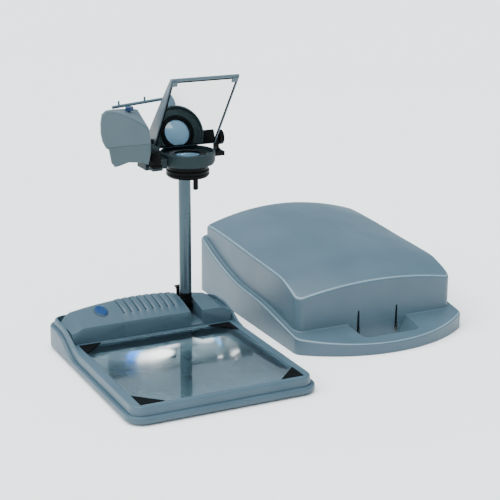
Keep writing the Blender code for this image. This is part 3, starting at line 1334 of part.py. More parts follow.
def cover_outline(inset):
    """The cover's rim outline: straight sides and back, and a bowed front."""
    half = COVER_WIDTH / 2 - inset
    front = COVER_FRONT + inset
    back = COVER_BACK - inset
    radius = COVER_CORNER_RADIUS - inset
    bow = COVER_BOW
    chord = 2 * half
    bow_radius = (chord * chord / 4 + bow * bow) / (2 * bow)
    spread = asin(half / bow_radius) * 180 / pi
    steps = 2 * CORNER_STEPS + 6
    centre = (COVER_X, front + bow_radius)
    curve = arc(centre, bow_radius, 270 - spread, 270 + spread, steps)
    points = curve[:]
    right = COVER_X + half
    left = COVER_X - half
    points += side_points(right, front + bow, back - radius, True)
    points += arc((right - radius, back - radius), radius, 0, 90, CORNER_STEPS)
    points += arc((left + radius, back - radius), radius, 90, 180, CORNER_STEPS)
    points += side_points(left, front + bow, back - radius, False)
    return points


def dome_outline(inset):
    """The raised dome's outline, with as many points as the rim's."""
    half = COVER_WIDTH / 2 - DOME_INSET - inset
    front = COVER_FRONT + DOME_SETBACK + inset
    back = COVER_BACK - DOME_BACK_INSET - inset
    radius = max(DOME_CORNER_RADIUS - inset, SMALL_EDGE)
    left = COVER_X - half
    right = COVER_X + half
    between = 2 * CORNER_STEPS + 7 - 2 * (CORNER_STEPS + 1)
    points = arc((left + radius, front + radius), radius, 180, 270, CORNER_STEPS)
    span = right - left - 2 * radius
    points += [(left + radius + span * (k + 1) / (between + 1), front) for k in range(between)]
    points += arc((right - radius, front + radius), radius, -90, 0, CORNER_STEPS)
    points += side_points(right, front + radius, back - radius, True)
    points += arc((right - radius, back - radius), radius, 0, 90, CORNER_STEPS)
    points += arc((left + radius, back - radius), radius, 90, 180, CORNER_STEPS)
    points += side_points(left, front + radius, back - radius, False)
    return points


def band_top(y):
    return BAND_FRONT_HEIGHT + BAND_RISE * from_shares(BAND_RISE_SHARES, (y - COVER_FRONT) / COVER_DEPTH)


def dome_share(y):
    return (y - COVER_FRONT - DOME_SETBACK) / (COVER_DEPTH - DOME_SETBACK - DOME_BACK_INSET)


def dome_edge(y):
    return DOME_EDGE_HEIGHT * from_shares(DOME_EDGE_SHARES, dome_share(y))


def dome_top(x, y):
    """Height of the crowned top: its edge line, plus a crown that grows to the back."""
    crown = DOME_CROWN_FRONT + (DOME_CROWN_BACK - DOME_CROWN_FRONT) * dome_share(y)
    half = COVER_WIDTH / 2 - DOME_INSET
    return dome_edge(y) + crown * (1 - ((x - COVER_X) / half) ** 2)


def cover_skin(wall):
    """Rings from the rim's foot up over the dome, drawn in and down by a wall."""
    rim = cover_outline(wall)
    dome = dome_outline(wall)
    edge = BAND_EDGE_ROUND
    drop = wall
    foot = 0.0
    rings = [[(x, y, foot) for x, y in rim]]
    rings.append([(x, y, band_top(y) - edge - drop) for x, y in rim])
    rings.append([(x, y, band_top(y) - edge / 4 - drop) for x, y in cover_outline(wall + edge / 3)])
    rings.append([(x, y, band_top(y) - drop) for x, y in cover_outline(wall + edge)])
    skirt = dome_outline(wall - DOME_FOOT_FILLET)
    rings.append([(x, y, band_top(y) - drop) for x, y in skirt])
    rings.append([(x, y, band_top(y) + DOME_FOOT_FILLET - drop) for x, y in dome])
    rings.append([(x, y, dome_top(x, y) - DOME_EDGE_ROUND - drop) for x, y in dome])
    turned = dome_outline(wall + DOME_EDGE_ROUND / 3)
    rings.append([(x, y, dome_top(x, y) - DOME_EDGE_ROUND / 4 - drop) for x, y in turned])
    shoulder = dome_outline(wall + DOME_EDGE_ROUND)
    rings.append([(x, y, dome_top(x, y) - drop) for x, y in shoulder])
    middle_y = COVER_FRONT + DOME_SETBACK + (COVER_DEPTH - DOME_SETBACK) / 2
    for share in DOME_RING_SHARES:
        ring = []
        for x, y in shoulder:
            inner_x = COVER_X + (x - COVER_X) * share
            inner_y = middle_y + (y - middle_y) * share
            ring.append((inner_x, inner_y, dome_top(inner_x, inner_y) - drop))
        rings.append(ring)
    return rings


def grip_height(y, margin, is_top):
    """Heights of the opening's two ends: its walls stop inside the flange, its cut runs past."""
    if not is_top:
        return 0.0 if margin else -CUT_OVERRUN
    return band_top(y) - COVER_WALL / 2 if margin else BAND_FRONT_HEIGHT + BAND_RISE / 3


def grip_opening(margin):
    """The tapered hand opening between the dome's front wall and the bowed bar."""
    back = COVER_FRONT + DOME_SETBACK + (margin if margin else -SEAT_GAP)
    rings = []
    for width, is_top in ((GRIP_FOOT_WIDTH, False), (GRIP_TOP_WIDTH, True)):
        half = width / 2 + margin
        middle = COVER_X + GRIP_OFFSET_X
        front = COVER_FRONT + GRIP_BAR - margin
        corner = GRIP_CORNER
        outline = arc((middle + half - corner, front + corner), corner, -90, 0, CORNER_STEPS)
        outline += [(middle + half, back), (middle - half, back)]
        outline += arc((middle - half + corner, front + corner), corner, 180, 270, CORNER_STEPS)
        rings.append([(x, y, grip_height(y, margin, is_top)) for x, y in outline])
    return loft(rings)


def add_cover(parent, grey):
    cover = add_part("carrying_cover", loft(cover_skin(0.0)), grey, parent)
    inner = cover_skin(COVER_WALL)
    below = [(x, y, -CUT_OVERRUN) for x, y, _ in inner[0]]
    cut(cover, loft([below] + inner[1:]))
    join(cover, grip_opening(COVER_WALL))
    cut(cover, grip_opening(0.0))
    wall_front = COVER_FRONT + DOME_SETBACK - CUT_OVERRUN
    wall_back = COVER_FRONT + DOME_SETBACK + COVER_WALL + CUT_OVERRUN
    slots = []
    for x in LATCH_SLOT_X:
        centre = COVER_X + x
        top = LATCH_SLOT_TOP_WIDTH / 2
        foot = LATCH_SLOT_FOOT_WIDTH / 2
        outline = [(centre - foot, LATCH_SLOT_FOOT), (centre + foot, LATCH_SLOT_FOOT)]
        outline += [(centre + top, LATCH_SLOT_TOP), (centre - top, LATCH_SLOT_TOP)]
        slots.append(prism(outline, wall_front, wall_back, "y"))
    cut(cover, merge(*slots))


def build():
    clear_scene()
    grey = body_grey()
    black = black_plastic()
    blue = button_blue()
    glass = clear_glass()
    mirror = mirror_coat()
    metal = steel()
    stand = add_empty("projector_frame", (0, 0, 0))
    stand.location = (-PAIR_X, -PAIR_Y, 0)
    cover_frame = add_empty("cover_frame", (0, 0, 0))
    cover_frame.location = (-PAIR_X, -PAIR_Y, 0)
    add_base_tray(stand, grey)
    add_top_case(stand, grey)
    add_stage(stand, glass, mirror, black)
    add_feet(stand, foot_rubber())
    add_switch_housing(stand, grey)
    add_vent_cover(stand, grey)
    add_hinge_housing(stand, grey)
    add_power_button(stand, blue, black)
    add_mains_inlet(stand, black, metal)
    add_transformer(stand, metal, copper())
    head = add_post(stand, grey, black, metal)
    add_post_release(stand, black, metal)
    add_head_arm(head, grey)
    add_lens_ring(head, grey)
    add_barrel(head, glass, black)
    add_focus_ring(head, black)
    add_adjust_knob(head, black)
    add_lamp_housing(head, grey)
    add_lamp(head, glass, metal, black, mirror)
    add_lamp_fittings(head, grey, blue)
    add_mirror(head, grey, black, mirror, metal)
    add_cover(cover_frame, grey)


build()
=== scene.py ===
"""An overhead projector with its carrying cover stood beside it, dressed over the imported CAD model.

Every length is in metres in the frame of the CAD. The script follows the projector as it is put together.
"""

from math import asin, cos, pi, radians, sin, sqrt

import bmesh
import bpy
from mathutils import Matrix, Vector


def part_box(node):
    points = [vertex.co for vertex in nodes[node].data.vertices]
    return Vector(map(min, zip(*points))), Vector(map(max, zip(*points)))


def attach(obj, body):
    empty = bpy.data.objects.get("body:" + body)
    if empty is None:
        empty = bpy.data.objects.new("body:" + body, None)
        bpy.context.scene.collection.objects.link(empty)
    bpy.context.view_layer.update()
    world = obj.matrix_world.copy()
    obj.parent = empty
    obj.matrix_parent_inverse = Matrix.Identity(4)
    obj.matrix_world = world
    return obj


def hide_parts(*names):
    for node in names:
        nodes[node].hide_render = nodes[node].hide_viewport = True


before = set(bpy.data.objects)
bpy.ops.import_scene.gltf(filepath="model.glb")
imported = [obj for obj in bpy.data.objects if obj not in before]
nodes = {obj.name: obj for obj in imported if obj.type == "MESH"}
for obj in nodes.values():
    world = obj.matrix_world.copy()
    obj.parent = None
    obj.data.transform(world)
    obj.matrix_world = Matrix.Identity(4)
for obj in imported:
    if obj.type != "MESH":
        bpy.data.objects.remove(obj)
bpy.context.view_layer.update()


# The photograph's camera: a long lens, a little above the projector and to its left.
# It leans by a quarter of a degree, as the photograph does.
CAMERA_PLACE = Vector((-1.0535, -2.114, 0.869))
CAMERA_TURN = radians(-26.20)
CAMERA_FALL = radians(16.71)
CAMERA_LEAN = radians(0.24)
CAMERA_LENS = 99.07
CAMERA_SENSOR = 36.0

level = Vector((cos(CAMERA_TURN), sin(CAMERA_TURN), 0))
ahead = Vector((-sin(CAMERA_TURN) * cos(CAMERA_FALL), cos(CAMERA_TURN) * cos(CAMERA_FALL), -sin(CAMERA_FALL)))
upward = level.cross(ahead)
right = cos(CAMERA_LEAN) * level + sin(CAMERA_LEAN) * upward
upright = -sin(CAMERA_LEAN) * level + cos(CAMERA_LEAN) * upward
lens = bpy.data.cameras.new("photo_camera")
lens.lens = CAMERA_LENS
lens.sensor_width = CAMERA_SENSOR
lens.clip_end = 60
camera = bpy.data.objects.new("photo_camera", lens)
turned = Matrix((right, upright, -ahead)).transposed().to_4x4()
camera.matrix_world = Matrix.Translation(CAMERA_PLACE) @ turned
bpy.context.scene.collection.objects.link(camera)
bpy.context.scene.camera = camera


# The studio: a white floor, a wide soft light overhead and a dim room.
# Lit panels behind the projector stand in for its Fresnel mirror's glints. They are placed from the glints
# in the photograph, so the glass mirrors them from that view alone. Level views from the front show them.
FLOOR_HALF = 14.0
FLOOR_WHITE = (0.97, 0.965, 0.955, 1)
ROOM_TONE = (0.66, 0.86, 1.0, 1)
ROOM_STRENGTH = 0.85
SKY_STRENGTH = 7.0
SKY_SPREAD = radians(85)
SKY_TILT = (radians(6), radians(-24), 0)
PANELS_Y = 3.0
PANELS_APART = 0.004
# A panel's row is its colour, its strength, the share of it that fades out, and its corners in x and z.
PANELS = {
    "panel_haze": (
        (0.72, 0.92, 1.0, 1), 1.1, 0.5,
        ((0.8, 1.2), (1.48, 1.2), (1.48, 1.39), (0.8, 1.39)),
    ),
    "panel_lower": (
        (1.0, 0.98, 0.95, 1), 13, 0.35,
        ((0.9, 1.282), (1.115, 1.294), (1.108, 1.34), (0.892, 1.322)),
    ),
    "panel_upper": (
        (0.97, 0.99, 1.0, 1), 8, 0.6,
        ((0.95, 1.212), (1.175, 1.206), (1.175, 1.3), (0.95, 1.276)),
    ),
    "panel_right": (
        (0.9, 0.97, 1.0, 1), 7, 0.7,
        ((1.165, 1.214), (1.29, 1.216), (1.345, 1.262), (1.34, 1.3), (1.165, 1.296)),
    ),
    "panel_wedge": (
        (1.0, 1.0, 1.0, 1), 18, 0,
        ((1.223, 1.218), (1.299, 1.23), (1.429, 1.264), (1.328, 1.262), (1.261, 1.242)),
    ),
    "panel_amber": (
        (1.0, 0.55, 0.18, 1), 9, 0.5,
        ((1.258, 1.224), (1.306, 1.226), (1.34, 1.266), (1.3, 1.266)),
    ),
    "panel_streak": (
        (0.16, 0.55, 0.95, 1), 4, 0.4,
        ((1.262, 1.241), (1.286, 1.244), (1.336, 1.322), (1.311, 1.32)),
    ),
    "panel_cyan": (
        (0.0, 0.6, 0.85, 1), 5, 0.25,
        ((0.962, 1.221), (0.992, 1.222), (0.928, 1.296), (0.904, 1.314), (0.884, 1.308)),
    ),
    "panel_blue": (
        (0.0, 0.2, 0.95, 1), 11, 0.25,
        ((0.936, 1.222), (0.97, 1.223), (0.9, 1.31), (0.852, 1.302)),
    ),
    "panel_glint": (
        (1.0, 1.0, 1.0, 1), 20, 0,
        ((1.352, 1.35), (1.376, 1.34), (1.4, 1.344), (1.371, 1.355)),
    ),
    "panel_spark": (
        (1.0, 1.0, 1.0, 1), 12, 0,
        ((1.289, 1.351), (1.313, 1.35), (1.318, 1.356), (1.298, 1.357)),
    ),
}


def shader_of(name):
    """A new material with its node tree and its surface shader."""
    material = bpy.data.materials.new(name)
    material.use_nodes = True
    return material, material.node_tree, material.node_tree.nodes["Principled BSDF"]


def flat_mesh(name, corners, faces):
    mesh = bpy.data.meshes.new(name)
    mesh.from_pydata(corners, [], faces)
    mesh.update()
    piece = bpy.data.objects.new(name, mesh)
    bpy.context.scene.collection.objects.link(piece)
    return piece


white, tree, shader = shader_of("studio_floor")
shader.inputs["Base Color"].default_value = FLOOR_WHITE
shader.inputs["Roughness"].default_value = 0.9
shader.inputs["Specular IOR Level"].default_value = 0.1
corners = [(x * FLOOR_HALF, y * FLOOR_HALF, 0) for x, y in ((-1, -1), (1, -1), (1, 1), (-1, 1))]
floor = flat_mesh("floor", corners, [(0, 1, 2, 3)])
floor.data.materials.append(white)

world = bpy.data.worlds.new("dim_room")
world.use_nodes = True
room = world.node_tree.nodes["Background"]
room.inputs["Color"].default_value = ROOM_TONE
room.inputs["Strength"].default_value = ROOM_STRENGTH
bpy.context.scene.world = world

sky = bpy.data.lights.new("overhead_light", "SUN")
sky.energy = SKY_STRENGTH
sky.angle = SKY_SPREAD
overhead = bpy.data.objects.new("overhead_light", sky)
overhead.rotation_euler = SKY_TILT
bpy.context.scene.collection.objects.link(overhead)

for count, (name, (tone, strength, soft, corners)) in enumerate(PANELS.items()):
    glow, tree, shader = shader_of(name)
    shader.inputs["Base Color"].default_value = (0, 0, 0, 1)
    shader.inputs["Emission Color"].default_value = tone
    shader.inputs["Emission Strength"].default_value = strength
    if soft:
        place = tree.nodes.new("ShaderNodeTexCoord")
        centred = tree.nodes.new("ShaderNodeMapping")
        centred.inputs["Location"].default_value = (-1, 0, -1)
        centred.inputs["Scale"].default_value = (2, 0, 2)
        fading = tree.nodes.new("ShaderNodeTexGradient")
        fading.gradient_type = "SPHERICAL"
        power = tree.nodes.new("ShaderNodeMapRange")
        power.interpolation_type = "SMOOTHSTEP"
        power.inputs["From Max"].default_value = soft
        power.inputs["To Max"].default_value = strength
        tree.links.new(place.outputs["Generated"], centred.inputs["Vector"])
        tree.links.new(centred.outputs["Vector"], fading.inputs["Vector"])
        tree.links.new(fading.outputs["Fac"], power.inputs["Value"])
        tree.links.new(power.outputs["Result"], shader.inputs["Emission Strength"])
    depth = PANELS_Y - PANELS_APART * count
    panel = flat_mesh(name, [(x, depth, z) for x, z in corners], [tuple(range(len(corners)))])
    panel.data.materials.append(glow)


# The base tray: the projector's bottom half, a moulded grey plastic dish with a rounded flange.
# It is screwed up into the case from below, and its satin surface is spark-eroded to a fine grain.
BODY_DEEP = (0.036, 0.068, 0.092, 1)
BODY_PALE = (0.046, 0.082, 0.108, 1)
# The pale edge tone: partly rubbed plastic, partly a painted highlight along the edges.
BODY_WORN_AND_SHEEN = (0.12, 0.18, 0.22, 1)
BODY_GRAIN = 1500.0
BODY_ROUNDING = 0.0009
SMOOTH_BELOW = radians(32)
WELD_BELOW = 0.00001
TONE_SPREAD = (0.35, 0.65)
GLOSS_SPREAD = (0.3, 0.7)
FULLY_BENT = 0.8


def mottled(tree, shader, deep, pale, size):
    """Two close tones of one colour, drifting over the surface. The node that mixes them comes back."""
    place = tree.nodes.new("ShaderNodeTexCoord")
    cloud = tree.nodes.new("ShaderNodeTexNoise")
    cloud.inputs["Scale"].default_value = size
    cloud.inputs["Detail"].default_value = 5
    tones = tree.nodes.new("ShaderNodeValToRGB")
    tones.color_ramp.elements[0].position = TONE_SPREAD[0]
    tones.color_ramp.elements[0].color = deep
    tones.color_ramp.elements[1].position = TONE_SPREAD[1]
    tones.color_ramp.elements[1].color = pale
    tree.links.new(place.outputs["Object"], cloud.inputs["Vector"])
    tree.links.new(cloud.outputs["Fac"], tones.inputs["Fac"])
    tree.links.new(tones.outputs["Color"], shader.inputs["Base Color"])
    return tones


def uneven_gloss(tree, shader, low, high, size):
    """Roughness that varies as handling and cleaning leave it."""
    place = tree.nodes.new("ShaderNodeTexCoord")
    cloud = tree.nodes.new("ShaderNodeTexNoise")
    cloud.inputs["Scale"].default_value = size
    cloud.inputs["Detail"].default_value = 6
    spread = tree.nodes.new("ShaderNodeMapRange")
    spread.inputs["From Min"].default_value = GLOSS_SPREAD[0]
    spread.inputs["From Max"].default_value = GLOSS_SPREAD[1]
    spread.inputs["To Min"].default_value = low
    spread.inputs["To Max"].default_value = high
    tree.links.new(place.outputs["Object"], cloud.inputs["Vector"])
    tree.links.new(cloud.outputs["Fac"], spread.inputs["Value"])
    tree.links.new(spread.outputs["Result"], shader.inputs["Roughness"])


def fine_grain(tree, shader, size, depth, strength, rounding=None):
    """A moulded grain as a bump. With a rounding, edges are also shaded as if slightly rounded."""
    place = tree.nodes.new("ShaderNodeTexCoord")
    grain = tree.nodes.new("ShaderNodeTexNoise")
    grain.inputs["Scale"].default_value = size
    grain.inputs["Detail"].default_value = 2
    bump = tree.nodes.new("ShaderNodeBump")
    bump.inputs["Strength"].default_value = strength
    bump.inputs["Distance"].default_value = depth
    tree.links.new(place.outputs["Object"], grain.inputs["Vector"])
    tree.links.new(grain.outputs["Fac"], bump.inputs["Height"])
    tree.links.new(bump.outputs["Normal"], shader.inputs["Normal"])
    if rounding is not None:
        rounded = tree.nodes.new("ShaderNodeBevel")
        rounded.samples = 4
        rounded.inputs["Radius"].default_value = rounding
        tree.links.new(rounded.outputs["Normal"], bump.inputs["Normal"])


def worn_and_sheen_edges(tree, shader, tones, worn_and_sheen_tone, rounding, gain):
    """Edges a little paler where the rounded normal leaves the true one: partly rubbed plastic, partly a
    painted highlight.
    """
    rounded = tree.nodes.new("ShaderNodeBevel")
    rounded.samples = 4
    rounded.inputs["Radius"].default_value = rounding
    true = tree.nodes.new("ShaderNodeNewGeometry")
    same = tree.nodes.new("ShaderNodeVectorMath")
    same.operation = "DOT_PRODUCT"
    bent = tree.nodes.new("ShaderNodeMapRange")
    bent.inputs["From Min"].default_value = 1.0
    bent.inputs["From Max"].default_value = FULLY_BENT
    bent.inputs["To Min"].default_value = 0.0
    bent.inputs["To Max"].default_value = gain
    mixed = tree.nodes.new("ShaderNodeMix")
    mixed.data_type = "RGBA"
    mixed.inputs["B"].default_value = worn_and_sheen_tone
    tree.links.new(rounded.outputs["Normal"], same.inputs[0])
    tree.links.new(true.outputs["Normal"], same.inputs[1])
    tree.links.new(same.outputs["Value"], bent.inputs["Value"])
    tree.links.new(bent.outputs["Result"], mixed.inputs["Factor"])
    tree.links.new(tones.outputs["Color"], mixed.inputs["A"])
    tree.links.new(mixed.outputs["Result"], shader.inputs["Base Color"])


def moulded_grey(name, deep, pale, low, high):
    """The projector's blue-grey plastic, in the tone and gloss of one moulding."""
    material, tree, shader = shader_of(name)
    tones = mottled(tree, shader, deep, pale, 9.0)
    worn_and_sheen_edges(tree, shader, tones, BODY_WORN_AND_SHEEN, BODY_ROUNDING, 0.55)
    uneven_gloss(tree, shader, low, high, 16.0)
    fine_grain(tree, shader, BODY_GRAIN, 0.0002, 0.10, BODY_ROUNDING)
    shader.inputs["Specular IOR Level"].default_value = 0.4
    return material


def finish(material, *names):
    """Gives these CAD nodes their material."""
    for name in names:
        coat(nodes[name], material)


def coat(piece, material):
    """Covers a whole piece with one material."""
    piece.data.materials.clear()
    piece.data.materials.append(material)
    smooth_faces(piece)


def smooth_faces(piece):
    """Shades round faces smooth between sharp edges, once the seams of the mesh are welded."""
    given = piece.data.attributes.get("custom_normal")
    if given is not None:
        piece.data.attributes.remove(given)
    piece.data.polygons.foreach_set("use_smooth", [True] * len(piece.data.polygons))
    weld = piece.modifiers.new("weld", "WELD")
    weld.merge_threshold = WELD_BELOW
    split = piece.modifiers.new("sharp_edges", "EDGE_SPLIT")
    split.split_angle = SMOOTH_BELOW
    weighted = piece.modifiers.new("flat_faces_flat", "WEIGHTED_NORMAL")
    weighted.keep_sharp = True


base_grey = moulded_grey("base_grey", BODY_DEEP, BODY_PALE, 0.34, 0.46)
finish(base_grey, "base_tray")


# The four feet: soft black rubber discs pressed into pockets in the tray.
# They dull and pick up dust where they stand.
RUBBER_BLACK = (0.012, 0.013, 0.014, 1)
RUBBER_DUSTY = (0.045, 0.046, 0.047, 1)

rubber, tree, shader = shader_of("foot_rubber")
mottled(tree, shader, RUBBER_BLACK, RUBBER_DUSTY, 60.0)
uneven_gloss(tree, shader, 0.75, 0.92, 90.0)
fine_grain(tree, shader, 2200.0, 0.0002, 0.25)
finish(rubber, "foot_front_left", "foot_front_right", "foot_back_left", "foot_back_right")


# The top case: the moulded upper half that frames the glass and rises into walls at the back.
# It clips over the tray, in the same plastic, painted a shade paler than the tray as a painted highlight on
# its lit top.
case_lit_grey = moulded_grey("case_lit_grey", (0.042, 0.077, 0.102, 1), (0.053, 0.091, 0.118, 1), 0.32, 0.44)
finish(case_lit_grey, "top_case")


# The Fresnel mirror below the glass: a plastic sheet with silvered rings about two millimetres wide.
# It throws the lamp's light back up to the lens. Its colour is a painted reflection, paler at the front and
# the back than between.
RING_PITCH = 0.002375
WAVES_PER_SCALE = 20 / (2 * pi)
REFLECTION_WOBBLE_SHIFT = 0.10
# Painted reflection: the sheet's tones from front to back, pale in front, dark between, palest at the back.
FRESNEL_PAINTED_REFLECTION_TONES = (
    (0.0, (0.150, 0.230, 0.280, 1)), (0.14, (0.105, 0.168, 0.208, 1)), (0.34, (0.036, 0.072, 0.090, 1)),
    (0.58, (0.022, 0.050, 0.062, 1)), (0.80, (0.070, 0.120, 0.142, 1)), (1.0, (0.36, 0.48, 0.54, 1)),
)

fresnel, tree, shader = shader_of("fresnel_silver")
low_corner, high_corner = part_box("fresnel_mirror")
middle = (low_corner + high_corner) / 2
place = tree.nodes.new("ShaderNodeTexCoord")
centred = tree.nodes.new("ShaderNodeMapping")
centred.inputs["Location"].default_value = (-middle.x, -middle.y, -middle.z)
along = tree.nodes.new("ShaderNodeSeparateXYZ")
share = tree.nodes.new("ShaderNodeMapRange")
share.inputs["From Min"].default_value = low_corner.y
share.inputs["From Max"].default_value = high_corner.y
# A noise that wobbles the bands of the painted reflection.
reflection_wobble = tree.nodes.new("ShaderNodeTexNoise")
reflection_wobble.inputs["Scale"].default_value = 9.0
reflection_wobble.inputs["Detail"].default_value = 4
drift = tree.nodes.new("ShaderNodeMath")
drift.operation = "MULTIPLY_ADD"
drift.inputs[1].default_value = REFLECTION_WOBBLE_SHIFT
tones = tree.nodes.new("ShaderNodeValToRGB")
for stop, (at, tone) in zip(tones.color_ramp.elements, (FRESNEL_PAINTED_REFLECTION_TONES[0], FRESNEL_PAINTED_REFLECTION_TONES[-1])):
    stop.position = at
    stop.color = tone
for at, tone in FRESNEL_PAINTED_REFLECTION_TONES[1:-1]:
    tones.color_ramp.elements.new(at).color = tone
rings = tree.nodes.new("ShaderNodeTexWave")
rings.wave_type = "RINGS"
rings.rings_direction = "Z"
rings.wave_profile = "SAW"
rings.inputs["Scale"].default_value = 1 / RING_PITCH / WAVES_PER_SCALE
cut = tree.nodes.new("ShaderNodeBump")
cut.inputs["Strength"].default_value = 0.2
cut.inputs["Distance"].default_value = 0.0002
tree.links.new(place.outputs["Object"], centred.inputs["Vector"])
tree.links.new(place.outputs["Object"], along.inputs["Vector"])
tree.links.new(along.outputs["Y"], share.inputs["Value"])
tree.links.new(place.outputs["Object"], reflection_wobble.inputs["Vector"])
tree.links.new(reflection_wobble.outputs["Fac"], drift.inputs[0])
tree.links.new(share.outputs["Result"], drift.inputs[2])
tree.links.new(drift.outputs["Value"], tones.inputs["Fac"])
tree.links.new(tones.outputs["Color"], shader.inputs["Base Color"])
tree.links.new(centred.outputs["Vector"], rings.inputs["Vector"])
tree.links.new(rings.outputs["Fac"], cut.inputs["Height"])
tree.links.new(cut.outputs["Normal"], shader.inputs["Normal"])
shader.inputs["Metallic"].default_value = 0.25
uneven_gloss(tree, shader, 0.20, 0.32, 12.0)
finish(fresnel, "fresnel_mirror")


# The stage: a sheet of toughened glass that transparencies lie on, ground along its edges.
# It has the green-blue tint of thick glass and faint smears from cleaning.
GLASS_TINT = (0.86, 0.94, 0.97, 1)


def clear_glass(name, tint, low, high):
    material, tree, shader = shader_of(name)
    shader.inputs["Base Color"].default_value = tint
    shader.inputs["Transmission Weight"].default_value = 1.0
    shader.inputs["IOR"].default_value = 1.5
    uneven_gloss(tree, shader, low, high, 7.0)
    fine_grain(tree, shader, 40.0, 0.0001, 0.02)
    return material


stage_clear = clear_glass("stage_clear", GLASS_TINT, 0.01, 0.06)
finish(stage_clear, "stage_glass")


# The four corner clips: black plastic triangles that hold the glass down in its frame.
# Each is pressed into the case's corner; the blacks of the projector are all this satin plastic.
BLACK_DEEP = (0.0006, 0.0008, 0.001, 1)
BLACK_PALE = (0.0016, 0.002, 0.0024, 1)
# The black's pale edge tone: partly rubbing, partly a painted highlight.
BLACK_WORN_AND_SHEEN = (0.010, 0.012, 0.014, 1)


def satin_black(name, low, high, grain):
    material, tree, shader = shader_of(name)
    tones = mottled(tree, shader, BLACK_DEEP, BLACK_PALE, 30.0)
    worn_and_sheen_edges(tree, shader, tones, BLACK_WORN_AND_SHEEN, 0.0005, 0.35)
    uneven_gloss(tree, shader, low, high, 50.0)
    fine_grain(tree, shader, grain, 0.0002, 0.12, 0.0005)
    shader.inputs["Specular IOR Level"].default_value = 0.07
    return material


clip_black = satin_black("clip_black", 0.55, 0.7, 1800.0)
finish(
    clip_black,
    "glass_clip_front_left", "glass_clip_front_right",
    "glass_clip_back_left", "glass_clip_back_right",
)


# The switch housing: the moulded hump at the left of the back that carries the power button.
# It snaps onto the case, in the body's grey.
housing_grey = moulded_grey("housing_grey", (0.035, 0.065, 0.086, 1), (0.044, 0.077, 0.100, 1), 0.32, 0.44)
finish(housing_grey, "switch_housing", "hinge_housing")


# The vent cover: the ribbed middle of the rear housing, over the transformer.
# Air leaves through a slot with a keyhole foot in each groove, moulded right through.
finish(housing_grey, "vent_cover")


# The power button: a blue rocker, raised in a bezel of the body's grey.
# It presses on the mains switch below, which is of black nylon, as the inlet is.
BUTTON_DEEP = (0.001, 0.026, 0.095, 1)
BUTTON_PALE = (0.003, 0.038, 0.124, 1)

finish(housing_grey, "button_bezel")
button_blue, tree, shader = shader_of("button_blue")
shader.inputs["Specular IOR Level"].default_value = 0.2
tones = mottled(tree, shader, BUTTON_DEEP, BUTTON_PALE, 60.0)
worn_and_sheen_edges(tree, shader, tones, BODY_WORN_AND_SHEEN, 0.0006, 0.4)
uneven_gloss(tree, shader, 0.45, 0.6, 80.0)
fine_grain(tree, shader, 1800.0, 0.0001, 0.08, 0.0006)
finish(button_blue, "power_button")
nylon = satin_black("switch_nylon", 0.4, 0.55, 1500.0)
finish(nylon, "power_switch", "mains_inlet")


# The inlet's three pins: turned brass, nickel plated, pressed into the inlet's floor.
# They are bright, with fine marks along them from plugging.
def brushed_metal(name, deep, pale, low, high, stretch):
    """A metal with fine marks along one direction."""
    material, tree, shader = shader_of(name)
    tones = mottled(tree, shader, deep, pale, 25.0)
    shader.inputs["Metallic"].default_value = 1.0
    uneven_gloss(tree, shader, low, high, 35.0)
    place = tree.nodes.new("ShaderNodeTexCoord")
    drawn = tree.nodes.new("ShaderNodeMapping")
    drawn.inputs["Scale"].default_value = stretch
    marks = tree.nodes.new("ShaderNodeTexNoise")
    marks.inputs["Scale"].default_value = 300.0
    marks.inputs["Detail"].default_value = 3
    bump = tree.nodes.new("ShaderNodeBump")
    bump.inputs["Strength"].default_value = 0.08
    bump.inputs["Distance"].default_value = 0.0002
    tree.links.new(place.outputs["Object"], drawn.inputs["Vector"])
    tree.links.new(drawn.outputs["Vector"], marks.inputs["Vector"])
    tree.links.new(marks.outputs["Fac"], bump.inputs["Height"])
    tree.links.new(bump.outputs["Normal"], shader.inputs["Normal"])
    return material


nickel = brushed_metal("pin_nickel", (0.55, 0.54, 0.50, 1), (0.66, 0.65, 0.62, 1), 0.2, 0.32, (1, 0.05, 1))
finish(nickel, "inlet_pin_line", "inlet_pin_earth", "inlet_pin_neutral")


# The lamp's transformer: a stack of varnished steel plates with a wound copper coil.
# It is bolted to the tray's floor inside the ribbed cover, out of sight.
plates = brushed_metal("core_steel", (0.16, 0.16, 0.17, 1), (0.24, 0.24, 0.25, 1), 0.4, 0.6, (0.05, 1, 6))
finish(plates, "transformer_core")
copper = brushed_metal("coil_copper", (0.45, 0.19, 0.09, 1), (0.62, 0.30, 0.15, 1), 0.3, 0.45, (1, 1, 5))
finish(copper, "transformer_coil")


# The fold: a steel pin through the hinge housing carries the post's cast link.
# The black release below it has a tongue that locks the post upright.
pin_steel = brushed_metal("pin_steel", (0.40, 0.41, 0.42, 1), (0.52, 0.53, 0.54, 1), 0.22, 0.36, (0.04, 1, 1))
finish(pin_steel, "pivot_pin", "release_pin")
link_black = satin_black("link_black", 0.38, 0.52, 1200.0)
finish(link_black, "pivot_link", "post_release")


# The post: a drawn steel tube, lacquered in the body's grey and glossier than the mouldings.
# It is pressed into the link at its foot and into the head's arm at its top.
post_grey, tree, shader = shader_of("post_lacquer")
mottled(tree, shader, (0.040, 0.068, 0.084, 1), (0.052, 0.082, 0.098, 1), 14.0)
shader.inputs["Metallic"].default_value = 0.55
uneven_gloss(tree, shader, 0.20, 0.30, 22.0)
fine_grain(tree, shader, 260.0, 0.0001, 0.05)
finish(post_grey, "post_tube")


